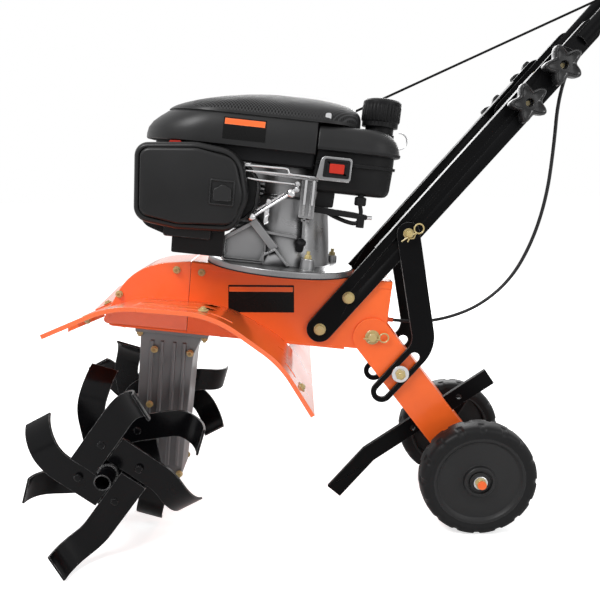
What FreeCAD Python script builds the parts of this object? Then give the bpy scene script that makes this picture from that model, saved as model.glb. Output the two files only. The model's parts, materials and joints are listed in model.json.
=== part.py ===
"""Front-tine tiller: a parametric FreeCAD document of its separate pieces.

Frame: millimetres, +X to the rear (operator's side), +Y to the machine's right, +Z up.
The origin lies on the ground under the middle of the machine's length.
The chassis leans nose-up on its tines, so its pieces are drawn level in the chassis frame
(x to the rear, z up, origin on top of the belt housing) and placed with one tilt.
"""
import FreeCAD, Part
import math
import os
from Sketcher import Constraint

Vector = FreeCAD.Vector
Rotation = FreeCAD.Rotation
Placement = FreeCAD.Placement
Y_AXIS = Vector(0, 1, 0)
Z_AXIS = Vector(0, 0, 1)
SIDES = {"left": -1, "right": 1}

# Driving dimensions in millimetres and degrees; each becomes a cell of the spreadsheet.
DIMENSIONS = {
    # stance
    "stance_shift": -216.17, "stance_pitch": 0.718, "deck_height": 455.5, "deck_tilt": 6.0,
    # belt housing
    "housing_half": 50.0, "housing_front": -188.0, "housing_rear": 163.0, "housing_depth": 126.0,
    "sheet_gauge": 2.5, "lid_gauge": 1.5, "lid_skirt": 13.0, "nose_tip": -337.0,
    # fender
    "fender_half": 204.0, "fender_gauge": 2.0, "fender_slot_offset": 170.0, "fender_slot_width": 9.0,
    # gearbox and tines
    "tine_axis_x": -275.0, "tine_axis_z": -336.0, "worm_axis_x": -220.0, "gearbox_half": 40.0,
    "tine_shaft_radius": 10.0, "tine_shaft_half": 165.0, "hub_bore": 10.05, "hub_socket": 11.5,
    "hub_radius": 13.5, "hub_end": 220.0, "outer_tines_at": 186.0, "inner_tines_at": 110.0,
    "tine_gauge": 4.0, "tine_near_edge": 14.0, "tine_far_edge": 66.0, "tine_flat": 97.0, "tine_bend": 70.0,
    "tine_bend_angle": 80.0, "hub_plate_radius": 62.0,
    # drive
    "crank_axis_x": -35.0, "crank_radius": 12.5, "pulley_radius": 36.0, "pulley_level": -62.0,
    "pulley_width": 14.0, "belt_clearance": 0.4,
    "worm_pitch_radius": 13.75, "worm_wheel_radius": 41.25,
    # engine
    "flange_radius": 130.0, "flange_thickness": 12.0, "crankcase_top": 176.0, "shroud_gauge": 2.5,
    "tank_neck_x": 109.0, "cap_radius": 33.5,
    # handle
    "handle_angle": 48.8, "handle_width": 46.0, "handle_gauge": 5.0, "handle_x": 35.0, "handle_z": 355.0,
    "handle_length": 610.0, "knob_radius": 35.0, "knob_height": 20.0,
    "tube_radius": 12.5, "tube_wall": 2.0, "grip_radius": 16.5,
    # wheel arm, links and wheels
    "pivot_x": 128.0, "pivot_z": 340.0, "axle_x": 311.0, "axle_z": 101.5, "arm_width": 68.0,
    "arm_gauge": 3.0, "arm_gap": 50.8, "pivot_pin_radius": 8.0, "slot_bolt_x": 178.5,
    "slot_bolt_z": 274.5, "slot_bolt_radius": 5.0, "link_x": 184.0, "link_z": 523.5, "link_gauge": 5.0,
    "link_inner": 57.0, "wheel_radius": 101.5, "wheel_width": 46.0, "wheel_track": 109.0,
    "axle_radius": 7.5, "stake_gauge": 8.0,
    # fasteners
    "small_bolt_radius": 3.0, "small_head_radius": 6.5, "small_head_height": 4.0,
    "big_bolt_radius": 5.0, "big_head_radius": 10.5, "big_head_height": 6.0,
    # cords
    "cable_radius": 3.0, "rope_radius": 2.0,
}

document = FreeCAD.newDocument("tiller")
sheet = document.addObject("Spreadsheet::Sheet", "dimensions")
for row, (alias, number) in enumerate(DIMENSIONS.items(), start=1):
    sheet.set(f"A{row}", alias.replace("_", " "))
    sheet.set(f"B{row}", str(number))
    sheet.setAlias(f"B{row}", alias)
document.recompute()

exported = []


def dim(alias):
    """Value of a spreadsheet cell."""
    return float(sheet.get(alias))


def machine(x=0.0, y=0.0, z=0.0, pitch=0.0):
    """Placement at a point of the upright machine, which leans back on its wheels by the stance pitch."""
    axle_point = Vector(dim("axle_x"), 0, dim("axle_z"))
    stance = Placement(axle_point + Vector(dim("stance_shift"), 0, 0), Rotation(Y_AXIS, dim("stance_pitch")))
    return stance.multiply(Placement(Vector(x, y, z) - axle_point, Rotation(Y_AXIS, pitch)))


def chassis(x=0.0, y=0.0, z=0.0, pitch=0.0):
    """Placement at a point of the tilted chassis frame."""
    base = machine(z=dim("deck_height"), pitch=dim("deck_tilt"))
    return base.multiply(Placement(Vector(x, y, z), Rotation(Y_AXIS, pitch)))


def edges_of(points):
    """Closed outline through (x, y) or (x, y, radius) corners, as lines and tangent arcs."""
    corners = [(Vector(p[0], p[1], 0), p[2] if len(p) > 2 else 0.0) for p in points]
    ends = []
    arcs = []
    for index, (corner, radius) in enumerate(corners):
        before = (corners[index - 1][0] - corner).normalize()
        after = (corners[(index + 1) % len(corners)][0] - corner).normalize()
        if radius <= 0:
            ends.append((corner, corner))
            arcs.append(None)
            continue
        half = before.getAngle(after) / 2
        start = corner + before * (radius / math.tan(half))
        stop = corner + after * (radius / math.tan(half))
        centre = corner + (before + after).normalize() * (radius / math.sin(half))
        ends.append((start, stop))
        arcs.append((centre, radius, start, stop))
    edges = []
    for index, arc in enumerate(arcs):
        if arc:
            edges.append(corner_arc(*arc))
        here = ends[index][1]
        there = ends[(index + 1) % len(ends)][0]
        if here.distanceToPoint(there) > 1e-6:
            edges.append(Part.LineSegment(here, there))
    return edges


def corner_arc(centre, radius, start, stop):
    """The short arc about centre between two points, running anticlockwise."""
    first = math.atan2(start.y - centre.y, start.x - centre.x)
    last = math.atan2(stop.y - centre.y, stop.x - centre.x)
    sweep = (last - first) % (2 * math.pi)
    if sweep > math.pi:
        first, last = last, first
        sweep = 2 * math.pi - sweep
    return Part.ArcOfCircle(Part.Circle(centre, Z_AXIS, radius), first, first + sweep)


def ring_of(points, gauge):
    """Closed band of the given gauge to the left of an open line of (x, y[, radius]) points."""
    flat = [Vector(p[0], p[1], 0) for p in points]
    radii = [p[2] if len(p) > 2 else 0.0 for p in points]
    shifted = []
    for index, point in enumerate(flat):
        before = (point - flat[index - 1]).normalize() if index else None
        after = (flat[index + 1] - point).normalize() if index + 1 < len(flat) else None
        headings = [heading for heading in (before, after) if heading]
        normals = [Vector(-heading.y, heading.x, 0) for heading in headings]
        middle = sum(normals[1:], normals[0]).normalize()
        shift = middle * (gauge / middle.dot(normals[0]))
        turn = before.cross(after).z if len(headings) == 2 else 0.0
        radius = radii[index] and radii[index] - math.copysign(gauge, turn)
        shifted.append((point.x + shift.x, point.y + shift.y, radius))
    return list(points) + shifted[::-1]


def wire_of(points, placement=None):
    """Part wire of a closed rounded outline."""
    wire = Part.Wire([edge.toShape() for edge in edges_of(points)])
    if placement:
        wire.Placement = placement
    return wire


def prism(points, height, placement=None):
    """Solid prism of a closed outline, extruded along its own z."""
    solid = Part.Face(wire_of(points)).extrude(Vector(0, 0, height))
    if placement:
        solid.Placement = placement
    return solid


def disc(radius, height, at=(0, 0, 0), along=Z_AXIS):
    """Cylinder from a point along a direction."""
    return Part.makeCylinder(radius, height, Vector(*at), Vector(*along))


class Body:
    """One rigid piece made of sketches and features, exported under its own name."""

    def __init__(self, name, placement, export=True):
        self.body = document.addObject("PartDesign::Body", name)
        self.body.Label = name
        self.placement = placement
        self.count = 0
        if export:
            exported.append(self.body)

    def origin_plane(self, role):
        """One of the body's own origin planes or axes, found by its role."""
        return next(item for item in self.body.Origin.OriginFeatures if item.Role == role)

    def add(self, kind, name):
        """New feature of the body with a numbered name."""
        self.count += 1
        return self.body.newObject(kind, f"{self.body.Name}_{name}{self.count}")

    def sketch(self, plane, outlines=(), circles=(), offset="0"):
        """Sketch on an origin plane: rounded outlines, and circles (x, y, radius expression)."""
        sketch = self.add("Sketcher::SketchObject", "sketch")
        sketch.AttachmentSupport = [(self.origin_plane(plane), "")]
        sketch.MapMode = "FlatFace"
        sketch.setExpression("AttachmentOffset.Base.z", offset)
        for outline in outlines:
            sketch.addGeometry(edges_of(outline), False)
        for x, y, radius in circles:
            self.circle(sketch, x, y, radius)
        return sketch

    def circle(self, sketch, x, y, radius):
        """Circle fixed at (x, y) whose radius follows an expression."""
        index = sketch.addGeometry(Part.Circle(Vector(x, y, 0), Z_AXIS, 1.0), False)
        sketch.addConstraint(Constraint("DistanceX", -1, 1, index, 3, x))
        sketch.addConstraint(Constraint("DistanceY", -1, 1, index, 3, y))
        constraint = sketch.addConstraint(Constraint("Radius", index, 1.0))
        sketch.setExpression(f"Constraints[{constraint}]", radius)

    def pad(self, sketch, length, symmetric=False, reverse=False):
        """Pad of a sketch by a length expression."""
        pad = self.add("PartDesign::Pad", "pad")
        pad.Profile = sketch
        pad.setExpression("Length", length)
        pad.Midplane = symmetric
        pad.Reversed = reverse
        return pad

    def pocket(self, sketch, length, symmetric=True, reverse=False):
        """Pocket of a sketch by a length expression."""
        pocket = self.add("PartDesign::Pocket", "pocket")
        pocket.Profile = sketch
        pocket.setExpression("Length", length)
        pocket.Midplane = symmetric
        pocket.Reversed = reverse
        return pocket

    def revolve(self, sketch, axis="V_Axis", groove=False):
        """Full revolution of a sketch about one of its axes, or a groove."""
        turned = self.add("PartDesign::Groove" if groove else "PartDesign::Revolution", "turned")
        turned.Profile = sketch
        turned.ReferenceAxis = (sketch, [axis])
        turned.Angle = 360
        return turned

    def polar(self, features, count, role="Z_Axis"):
        """Polar pattern of features about an origin axis, made the body's tip."""
        pattern = self.add("PartDesign::PolarPattern", "pattern")
        pattern.Originals = features
        pattern.Axis = (self.origin_plane(role), [""])
        pattern.Angle = 360
        pattern.Occurrences = count
        self.body.Tip = pattern
        return pattern

    def done(self):
        """Place the finished body."""
        self.body.Placement = self.placement
        return self.body


def feature(name, shape, placement=None, export=True):
    """Piece or group of pieces whose shape is worked out with Part's own functions."""
    piece = document.addObject("Part::Feature", name)
    piece.Label = name
    piece.Shape = shape
    piece.Placement = placement or Placement()
    if export:
        exported.append(piece)
    return piece


def group(name, members):
    """One node made of several separate solids of the document."""
    compound = document.addObject("Part::Compound", name)
    compound.Label = name
    compound.Links = members
    exported.append(compound)
    return compound


def side_plate(name, outline, level, gauge, placement, circles=(), export=True):
    """Flat plate in the XZ plane with its middle at a y level, of a gauge expression."""
    plate = Body(name, placement, export)
    outlines = [outline] if outline else []
    plate.pad(plate.sketch("XZ_Plane", outlines, circles, offset=f"-({level})"), gauge, symmetric=True)
    return plate


def hex_bolt(shank, head, height, length, nut=True, flange=True):
    """Hexagon bolt along +z: its head below z = 0, its shank up to length, and a nut at the end."""
    hexagon = [(head * 0.86 * math.cos(k * math.pi / 3), head * 0.86 * math.sin(k * math.pi / 3))
               for k in range(6)]
    solid = disc(shank, length + (height * 1.3 if nut else 0))
    if flange:
        solid = solid.fuse(disc(head, height * 0.35, (0, 0, -height * 0.35)))
    top = -height * 0.35 if flange else 0.0
    solid = solid.fuse(prism(hexagon, height + top, Placement(Vector(0, 0, -height), Rotation())))
    if nut:
        solid = solid.fuse(prism(hexagon, height * 0.9, Placement(Vector(0, 0, length), Rotation())))
    return solid.removeSplitter()


def toward(y_sign):
    """Rotation that points a fastener's +z along +Y or -Y."""
    return Rotation(Z_AXIS, Vector(0, y_sign, 0))


# ---------------------------------------------------------------- belt housing and fender

def to_chassis(x, z):
    """Chassis coordinates of a point of the upright machine's side view."""
    tilt = math.radians(dim("deck_tilt"))
    rise = z - dim("deck_height")
    return (x * math.cos(tilt) - rise * math.sin(tilt), x * math.sin(tilt) + rise * math.cos(tilt))


def channel_section(outer, gauge, top, bottom):
    """Inverted U of sheet, drawn across the machine: half width, gauge, top and skirt levels."""
    inner = outer - gauge
    return [(-outer, bottom), (-outer, top, 4), (outer, top, 4), (outer, bottom),
            (inner, bottom), (inner, top - gauge, 2), (-inner, top - gauge, 2), (-inner, bottom)]


CABLE_BOSS = (-18, -74.4)
HANDLE_BOLTS_AT = (0.0, 75.3)


def handle_bolt_in_chassis(distance):
    """Chassis coordinates of a handle bolt at a distance up the lower handle."""
    angle = math.radians(dim("handle_angle"))
    return to_chassis(dim("handle_x") + distance * math.cos(angle), dim("handle_z") + distance * math.sin(angle))


def belt_housing():
    """Inverted sheet channel with a rear wall that covers the belt drive."""
    half = dim("housing_half")
    gauge = dim("sheet_gauge")
    top = -dim("lid_gauge")
    bottom = -dim("housing_depth")
    inner = half - gauge
    housing = Body("belt_housing", chassis())
    section = channel_section(half, gauge, top, bottom)
    channel = housing.sketch("YZ_Plane", [section], offset="dimensions.housing_front")
    housing.pad(channel, "dimensions.housing_rear - dimensions.housing_front")
    wall = [(-inner, bottom + 40), (-inner, top - 1), (inner, top - 1), (inner, bottom + 40)]
    rear = housing.sketch("YZ_Plane", [wall], offset="dimensions.housing_rear")
    housing.pad(rear, "dimensions.sheet_gauge", reverse=True)
    opening = housing.sketch("XY_Plane", circles=[(dim("crank_axis_x"), 0, "22")])
    housing.pocket(opening, "20")
    pivot = to_chassis(dim("pivot_x"), dim("pivot_z"))
    circles = [(*pivot, "dimensions.pivot_pin_radius + 0.05")]
    circles += [(*handle_bolt_in_chassis(s), "dimensions.big_bolt_radius + 0.05") for s in HANDLE_BOLTS_AT]
    housing.pocket(housing.sketch("XZ_Plane", circles=circles), "dimensions.housing_half * 3")
    for radius, reach in ((7, "6"), (4, "15")):
        boss = housing.sketch("YZ_Plane", circles=[(*CABLE_BOSS, f"{radius}")], offset="dimensions.housing_rear")
        housing.pad(boss, reach)
    housing.done()


def engine_plate():
    """Shallow lid with turned-down skirts that the engine bolts to."""
    outer = dim("housing_half") + dim("lid_gauge")
    section = channel_section(outer, dim("lid_gauge"), 0, -dim("lid_skirt"))
    plate = Body("engine_plate", chassis())
    profile = plate.sketch("YZ_Plane", [section], offset="dimensions.housing_front")
    plate.pad(profile, "dimensions.housing_rear - dimensions.housing_front")
    opening = plate.sketch("XY_Plane", circles=[(dim("crank_axis_x"), 0, "22")])
    plate.pocket(opening, "20")
    plate.done()


def nose_cover():
    """Rounded front end of the belt housing, open below and at the back."""
    gauge = dim("sheet_gauge")
    front = dim("nose_tip")
    seam = dim("housing_front") - 0.5
    bottom = -dim("housing_depth")
    outline = [(seam, -0.5), (-289, -16, 110), (front, bottom + 4, 6), (front + 8, bottom), (seam, bottom)]
    hollow = [(seam + 5, -0.5 - gauge), (-288, -16 - gauge, 107.5), (front + gauge + 1, bottom + 5, 4),
              (front + gauge + 1, bottom - 10), (seam + 5, bottom - 10)]
    nose = Body("nose_cover", chassis())
    nose.pad(nose.sketch("XZ_Plane", [outline]), "dimensions.housing_half * 2", symmetric=True)
    nose.pocket(nose.sketch("XZ_Plane", [hollow]), "dimensions.housing_half * 2 - dimensions.sheet_gauge * 2")
    nose.done()


IDLER_PIVOT = (-96, -20)
IDLER_AXLE = (-126, 12)


def housing_pan():
    """Bottom pan bolted under the housing; the gearbox hangs from it."""
    half = dim("housing_half")
    pan = Body("housing_pan", chassis())
    front = dim("nose_tip") + 8
    rear = dim("housing_rear") - 70
    outline = [(front, -half, 14), (rear, -half), (rear, half), (front, half, 14)]
    plate = pan.sketch("XY_Plane", [outline], circles=[(dim("worm_axis_x"), 0, "24")],
                       offset="-dimensions.housing_depth")
    pan.pad(plate, "4", reverse=True)
    stud = pan.sketch("XY_Plane", circles=[(*IDLER_PIVOT, "4")], offset="-dimensions.housing_depth")
    pan.pad(stud, "dimensions.housing_depth + dimensions.pulley_level - 8")
    pan.done()


def cross_strip(body, line, gauge, low, high):
    """Pad a band of sheet that hangs under a line of the XZ plane, between two y levels."""
    band = body.sketch("XZ_Plane", [ring_of(line, -gauge)], offset=f"{-(low + high) / 2}")
    body.pad(band, f"{high - low}", symmetric=True)


def front_bracket():
    """Apron plate that laps under both wings on the nose, with a turned-down rim."""
    half = dim("housing_half")
    gauge = dim("fender_gauge")
    bracket = Body("front_bracket", chassis())
    cross_strip(bracket, BRACKET_LINE, gauge, -half, half)
    cross_strip(bracket, BRACKET_TAB, gauge, -half - 24, half + 24)
    for low in (-half, half - gauge):
        cross_strip(bracket, BRACKET_LINE[1:], 9.0, low, low + gauge)
    bracket.done()


BRACKET_LINE = [(-397, -132), (-397, -122, 3), (-337.1, -88.86)]
BRACKET_TAB = [(-380, -112.65), (-344, -92.75)]
APRON_LINE = [(-3.5, -133.4), (44, -197)]
FENDER_RIBS = (84, 132)
RIB_LINE = [(-262, -58.2), (-250, -55.5), (-142, -53), (-128, -55.8)]
FENDER_SLOTS = ((-243, -98), (-10, 9))
FENDER_LINE = [(-383, -112), (-280, -55, 150), (-125, -52, 150), (-15, -118, 150), (44, -197)]


def fender(side):
    """Curved wing over one side's tines: slots, ribs, a turned-down rim, and an apron behind the gearbox."""
    sign = SIDES[side]
    gauge = dim("fender_gauge")
    root = dim("housing_half")
    edge = dim("fender_half")
    wing = Body(f"fender_{side}", chassis())
    bands = [(FENDER_LINE, gauge, root, edge), (FENDER_LINE, 7.0, edge - 2, edge), (APRON_LINE, gauge, 0, root + 1)]
    bands += [(RIB_LINE, -1.4, level - 4, level + 4) for level in FENDER_RIBS]
    for line, thick, inner, outer in bands:
        cross_strip(wing, line, thick, *sorted((sign * inner, sign * outer)))
    low, high = (sign * dim("fender_slot_offset") + k * dim("fender_slot_width") / 2 for k in (-1, 1))
    for front, rear in FENDER_SLOTS:
        slot = [(front, low, 4), (rear, low, 4), (rear, high, 4), (front, high, 4)]
        wing.pocket(wing.sketch("XY_Plane", [slot]), "500")
    wing.done()


# ---------------------------------------------------------------- gearbox and tines

def gearbox_half(side):
    """Cast half of the worm gearbox: fluted outside, hollow inside, drawn about the worm's axis."""
    reverse = SIDES[side] > 0
    top = -dim("housing_depth") - 4
    wheel = (dim("tine_axis_x") - dim("worm_axis_x"), dim("tine_axis_z"))
    half = Body(f"gearbox_{side}", chassis(dim("worm_axis_x")))

    def block(outline=(), circles=(), depth="10"):
        half.pad(half.sketch("XZ_Plane", outline, circles), depth, reverse=reverse)

    def cavity(outline=(), circles=(), depth="10"):
        half.pocket(half.sketch("XZ_Plane", outline, circles), depth, symmetric=False, reverse=not reverse)

    leg = [(-52, top), (61, top), (44, top - 44, 60), (38, -425, 16), (-38, -425, 16), (-50, -395, 20)]
    block([leg], depth="dimensions.gearbox_half - 4")
    block([[(-60, top), (70, top), (70, top - 7), (-60, top - 7)]], depth="dimensions.gearbox_half + 6")
    block(circles=[(*wheel, "54")], depth="dimensions.gearbox_half - 6")
    block(circles=[(*wheel, "24")], depth="dimensions.gearbox_half")
    for x in (-30, -12, 10, 28):
        block([[(x - 3, top - 22), (x + 3, top - 22), (x + 3, -392), (x - 3, -392)]],
              depth="dimensions.gearbox_half")
    cavity(circles=[(*wheel, "47")], depth="14")
    cavity([[(-19, top - 60), (19, top - 60), (19, -380), (-19, -380)]], depth="19")
    cavity(circles=[(*wheel, "18")], depth="dimensions.gearbox_half - 6")
    cavity(circles=[(*wheel, "14")], depth="dimensions.gearbox_half + 5")
    bore = [(0, top + 1), (14, top + 1), (14, top - 20), (18, top - 20), (18, top - 61), (0, top - 61)]
    half.revolve(half.sketch("XZ_Plane", [bore]), groove=True)
    seat = [(0, -379), (18, -379), (18, -400), (0, -400)]
    half.revolve(half.sketch("XZ_Plane", [seat]), groove=True)
    half.done()


def ring(outer, inner, height, at, along=Z_AXIS):
    """Tube from a point along a direction."""
    return disc(outer, height, at, along).cut(disc(inner, height, at, along))


def bearings():
    """Ball bearings of the worm shaft and bushes of the tine shaft, as plain rings."""
    top = -dim("housing_depth") - 4
    along_y = Vector(0, 1, 0)
    wheel = (dim("tine_axis_x") - dim("worm_axis_x"), dim("tine_axis_z"))
    bush = dim("tine_shaft_radius") + 0.05
    rings = [ring(17.95, 8.05, 12, (0, 0, z)) for z in (top - 34, -399)]
    rings += [ring(17.95, bush, 18, (wheel[0], y, wheel[1]), along_y) for y in (-33.9, 15.9)]
    feature("bearings", Part.makeCompound(rings), chassis(dim("worm_axis_x")))


def pulley_profile(bore):
    """Half section of a V-belt pulley on a shaft, from its bottom face to its top face."""
    outer = dim("pulley_radius") + 5
    seat = dim("pulley_radius") - 4
    low = dim("pulley_level") - dim("pulley_width") / 2
    high = dim("pulley_level") + dim("pulley_width") / 2
    return [(bore, low), (outer, low), (outer, low + 1.5), (seat, low + 3), (seat, high - 3),
            (outer, high - 1.5), (outer, high), (bore, high)]


def worm_shaft():
    """Input shaft with its pulley on top and its worm at the bottom, along the gearbox leg."""
    middle = dim("tine_axis_z")
    shaft = Body("worm_shaft", chassis(dim("worm_axis_x")))
    pitch = dim("worm_pitch_radius")
    end = dim("pulley_level") + dim("pulley_width") / 2 + 5
    profile = [(0, -398), (8, -398), (8, middle - 34), (10.5, middle - 34), (10.5, middle - 24),
               (pitch, middle - 22), (pitch, middle + 22), (10.5, middle + 24), (10.5, -200), (8, -200)]
    profile += pulley_profile(8) + [(8, end), (0, end)]
    shaft.revolve(shaft.sketch("XZ_Plane", [profile]))
    shaft.done()


def worm_wheel():
    """Bronze worm wheel on the tine shaft."""
    along_y = Vector(0, 1, 0)
    wheel = ring(dim("worm_wheel_radius") - 3, dim("tine_shaft_radius"), 20, (0, -10, 0), along_y)
    feature("worm_wheel", wheel, chassis(dim("tine_axis_x"), 0, dim("tine_axis_z")))


def tine_shaft():
    """Cross shaft that carries both tine hubs."""
    shaft = document.addObject("Part::Cylinder", "tine_shaft")
    shaft.Label = "tine_shaft"
    shaft.setExpression("Radius", "dimensions.tine_shaft_radius")
    shaft.setExpression("Height", "dimensions.tine_shaft_half * 2")
    turn = Placement(Vector(0, 0, 0), toward(1))
    shift = Placement(Vector(0, 0, -dim("tine_shaft_half")), Rotation())
    at_axis = chassis(dim("tine_axis_x"), 0, dim("tine_axis_z"))
    shaft.Placement = at_axis.multiply(turn).multiply(shift)
    exported.append(shaft)


def tine_hubs():
    """Two hub tubes turned about the shaft, each with the two plates that its tines are riveted to."""
    bore = dim("hub_bore")
    outer = dim("hub_radius")
    gauge = dim("tine_gauge")
    end = dim("hub_end")
    socket = dim("hub_socket")
    tube = [(bore, 44), (outer, 44), (outer, end), (socket, end), (socket, end - 50), (bore, end - 50)]
    at_axis = chassis(dim("tine_axis_x"), 0, dim("tine_axis_z"))
    pieces = []
    for side, sign in SIDES.items():
        hub = Body(f"tine_hub_{side}", at_axis, export=False)
        hub.revolve(hub.sketch("XY_Plane", [[(radius, sign * y) for radius, y in tube]]))
        pieces.append(hub.done())
        for place in ("inner", "outer"):
            level = dim(f"{place}_tines_at") - 1.5 * gauge
            plate = side_plate(f"tine_plate_{place}_{side}", (), sign * level, "dimensions.tine_gauge", at_axis,
                               [(0, 0, "dimensions.hub_plate_radius"), (0, 0, "dimensions.hub_radius")],
                               export=False)
            pieces.append(plate.done())
    group("tine_hubs", pieces)


def blade():
    """One tine in its own frame: x out along the blade, y across it, z the way it bends."""
    gauge = dim("tine_gauge")
    flat = dim("tine_flat")
    bend = dim("tine_bend")
    angle = math.radians(dim("tine_bend_angle"))
    inner = bend - gauge
    start = Vector(-40, 0, 0)
    middle = angle / 2
    lower = [Part.LineSegment(start, Vector(flat, 0, 0)),
             Part.Arc(Vector(flat, 0, 0), Vector(flat + bend * math.sin(middle), 0, bend * (1 - math.cos(middle))),
                      Vector(flat + bend * math.sin(angle), 0, bend * (1 - math.cos(angle))))]
    upper = [Part.LineSegment(Vector(-40, 0, gauge), Vector(flat, 0, gauge)),
             Part.Arc(Vector(flat, 0, gauge),
                      Vector(flat + inner * math.sin(middle), 0, bend - inner * math.cos(middle)),
                      Vector(flat + inner * math.sin(angle), 0, bend - inner * math.cos(angle)))]
    ends = [Part.LineSegment(lower[0].StartPoint, upper[0].StartPoint),
            Part.LineSegment(lower[1].EndPoint, upper[1].EndPoint)]
    edges = Part.__sortEdges__([edge.toShape() for edge in lower + upper + ends])
    strip = Part.Face(Part.Wire(edges)).extrude(Vector(0, 90, 0))
    strip.translate(Vector(0, -15, 0))
    near = dim("tine_near_edge")
    far = dim("tine_far_edge")
    root = -near - 0.2
    outline = [(root, near, 2), (flat, near, 200), (140, -1), (165, 40), (flat, far, 200), (root, far, 2)]
    return strip.common(prism(outline, 90, Placement(Vector(0, 0, -10), Rotation())))


def tine_set(name, side, level, first_heading):
    """Four tines on one plate: two in the outer layer bend outwards, two in the inner bend inwards."""
    master = blade()
    mirrored = master.mirror(Vector(0, 0, 0), Z_AXIS)
    blades = []
    for index in range(4):
        outward = index % 2 == 0
        bends_left = outward == (side == "left")
        copy = (master if bends_left else mirrored).copy()
        heading = Rotation(Y_AXIS, -(first_heading + 90 * index))
        copy.Placement = Placement(Vector(0, SIDES[side] * level, 0), heading.multiply(Rotation(Vector(1, 0, 0), 90)))
        blades.append(copy)
    feature(name, Part.makeCompound(blades), machine_at_tines())


def machine_at_tines():
    """Upright placement at the tine axis."""
    tilt = math.radians(dim("deck_tilt"))
    x = dim("tine_axis_x") * math.cos(tilt) + dim("tine_axis_z") * math.sin(tilt)
    z = dim("deck_height") - dim("tine_axis_x") * math.sin(tilt) + dim("tine_axis_z") * math.cos(tilt)
    return machine(x, 0, z)


# ---------------------------------------------------------------- belt drive

def stadium(first, second, radius):
    """Outline round two equal circles on the x axis, as a rounded rectangle."""
    low = min(first, second) - radius
    high = max(first, second) + radius
    corner = radius - 0.01
    return [(low, -radius, corner), (high, -radius, corner), (high, radius, corner), (low, radius, corner)]


def drive_belt():
    """Endless belt round the engine pulley and the input pulley."""
    belt = Body("drive_belt", chassis(0, 0, dim("pulley_level")))
    seat = dim("pulley_radius") - 4 + dim("belt_clearance")
    loops = [stadium(dim("worm_axis_x"), dim("crank_axis_x"), radius) for radius in (seat + 7, seat)]
    belt.pad(belt.sketch("XY_Plane", loops), "dimensions.pulley_width - 6.8", symmetric=True)
    belt.done()


def idler():
    """Clutch idler: an arm below the belt with a flat pulley inside its loop."""
    level = dim("pulley_level") - 16
    arm = Body("idler_arm", chassis(0, 0, level), export=False)
    plate = arm.sketch("XY_Plane", [strap([(-81, -34), IDLER_PIVOT, IDLER_AXLE], 14, 12)],
                       circles=[(*IDLER_PIVOT, "4.05")])
    arm.pad(plate, "4")
    arm.pad(arm.sketch("XY_Plane", circles=[(*IDLER_AXLE, "4")]), "21")
    roller = Body("idler_pulley", chassis(*IDLER_AXLE, level), export=False)
    roller.revolve(roller.sketch("XZ_Plane", [[(4.05, 10), (14, 10), (14, 20.5), (4.05, 20.5)]]))
    group("idler", [arm.done(), roller.done()])


# ---------------------------------------------------------------- engine

def crankcase():
    """Cast crankcase on a round flange, with buttress ribs, about the crankshaft."""
    case = Body("crankcase", chassis(dim("crank_axis_x")))
    thick = dim("flange_thickness")
    flange = dim("flange_radius")
    top = dim("crankcase_top")
    bore = dim("crank_radius") + 0.05
    profile = [(bore, 0), (flange, 0), (flange, thick), (92, thick), (88, 34), (74, 92), (70, 128),
               (70, top), (bore, top)]
    case.revolve(case.sketch("XZ_Plane", [profile]))
    rib = case.sketch("XZ_Plane", [[(60, 10), (106, 10), (106, 16), (72, 96), (60, 96)]])
    ribs = case.pad(rib, "6", symmetric=True)
    case.polar([ribs], 10)
    block = case.sketch("YZ_Plane", [[(-44, 66, 8), (44, 66, 8), (44, 154, 8), (-44, 154, 8)]])
    case.pad(block, "150", reverse=True)
    lug = case.sketch("XY_Plane", [[(20, -112, 4), (48, -112, 4), (48, -50), (20, -50)]], offset="92")
    case.pad(lug, "18")
    case.pocket(case.sketch("XY_Plane", circles=[(0, 0, "dimensions.crank_radius + 0.05")]),
                "dimensions.crankcase_top * 3")
    case.done()


def cylinder_head():
    """Finned head on the front of the cylinder, with its spark plug pointing forward."""
    head = Body("finned_head", chassis(dim("crank_axis_x") - 150, 0, 110), export=False)
    core = head.sketch("YZ_Plane", [[(-40, -40, 6), (40, -40, 6), (40, 40, 6), (-40, 40, 6)]])
    head.pad(core, "34", reverse=True)
    for level in (-34, -20, -6, 8, 22, 34):
        fin = head.sketch("YZ_Plane", [[(-52, level), (52, level), (52, level + 3), (-52, level + 3)]])
        head.pad(fin, "38", reverse=True)
    plug = Body("spark_plug", chassis(dim("crank_axis_x") - 188.2, 0, 110, -90), export=False)
    profile = [(0, 0), (8, 0), (10, 2), (10, 10), (6, 12), (4.5, 32), (3, 34), (3, 40), (0, 40)]
    plug.revolve(plug.sketch("XZ_Plane", [profile]))
    group("cylinder_head", [head.done(), plug.done()])


def flywheel():
    """Finned flywheel under the shroud."""
    wheel = Body("flywheel", chassis(dim("crank_axis_x")))
    base = dim("crankcase_top") + 8
    bore = dim("crank_radius")
    profile = [(bore, base), (84, base), (84, base + 12), (bore, base + 12)]
    wheel.revolve(wheel.sketch("XZ_Plane", [profile]))
    fin = wheel.pad(wheel.sketch("XY_Plane", [[(52, -2), (82, -2), (82, 2), (52, 2)]],
                                 offset=f"{base + 11}"), "15")
    wheel.polar([fin], 12)
    wheel.done()


def crankshaft():
    """Vertical crankshaft from the flywheel down to the engine pulley."""
    shaft = Body("crankshaft", chassis(dim("crank_axis_x")))
    radius = dim("crank_radius")
    foot = dim("pulley_level") - 14
    profile = [(0, foot), (radius, foot)] + pulley_profile(radius)
    profile += [(radius, dim("crankcase_top") + 28), (0, dim("crankcase_top") + 28)]
    shaft.revolve(shaft.sketch("XZ_Plane", [profile]))
    shaft.done()


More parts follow.
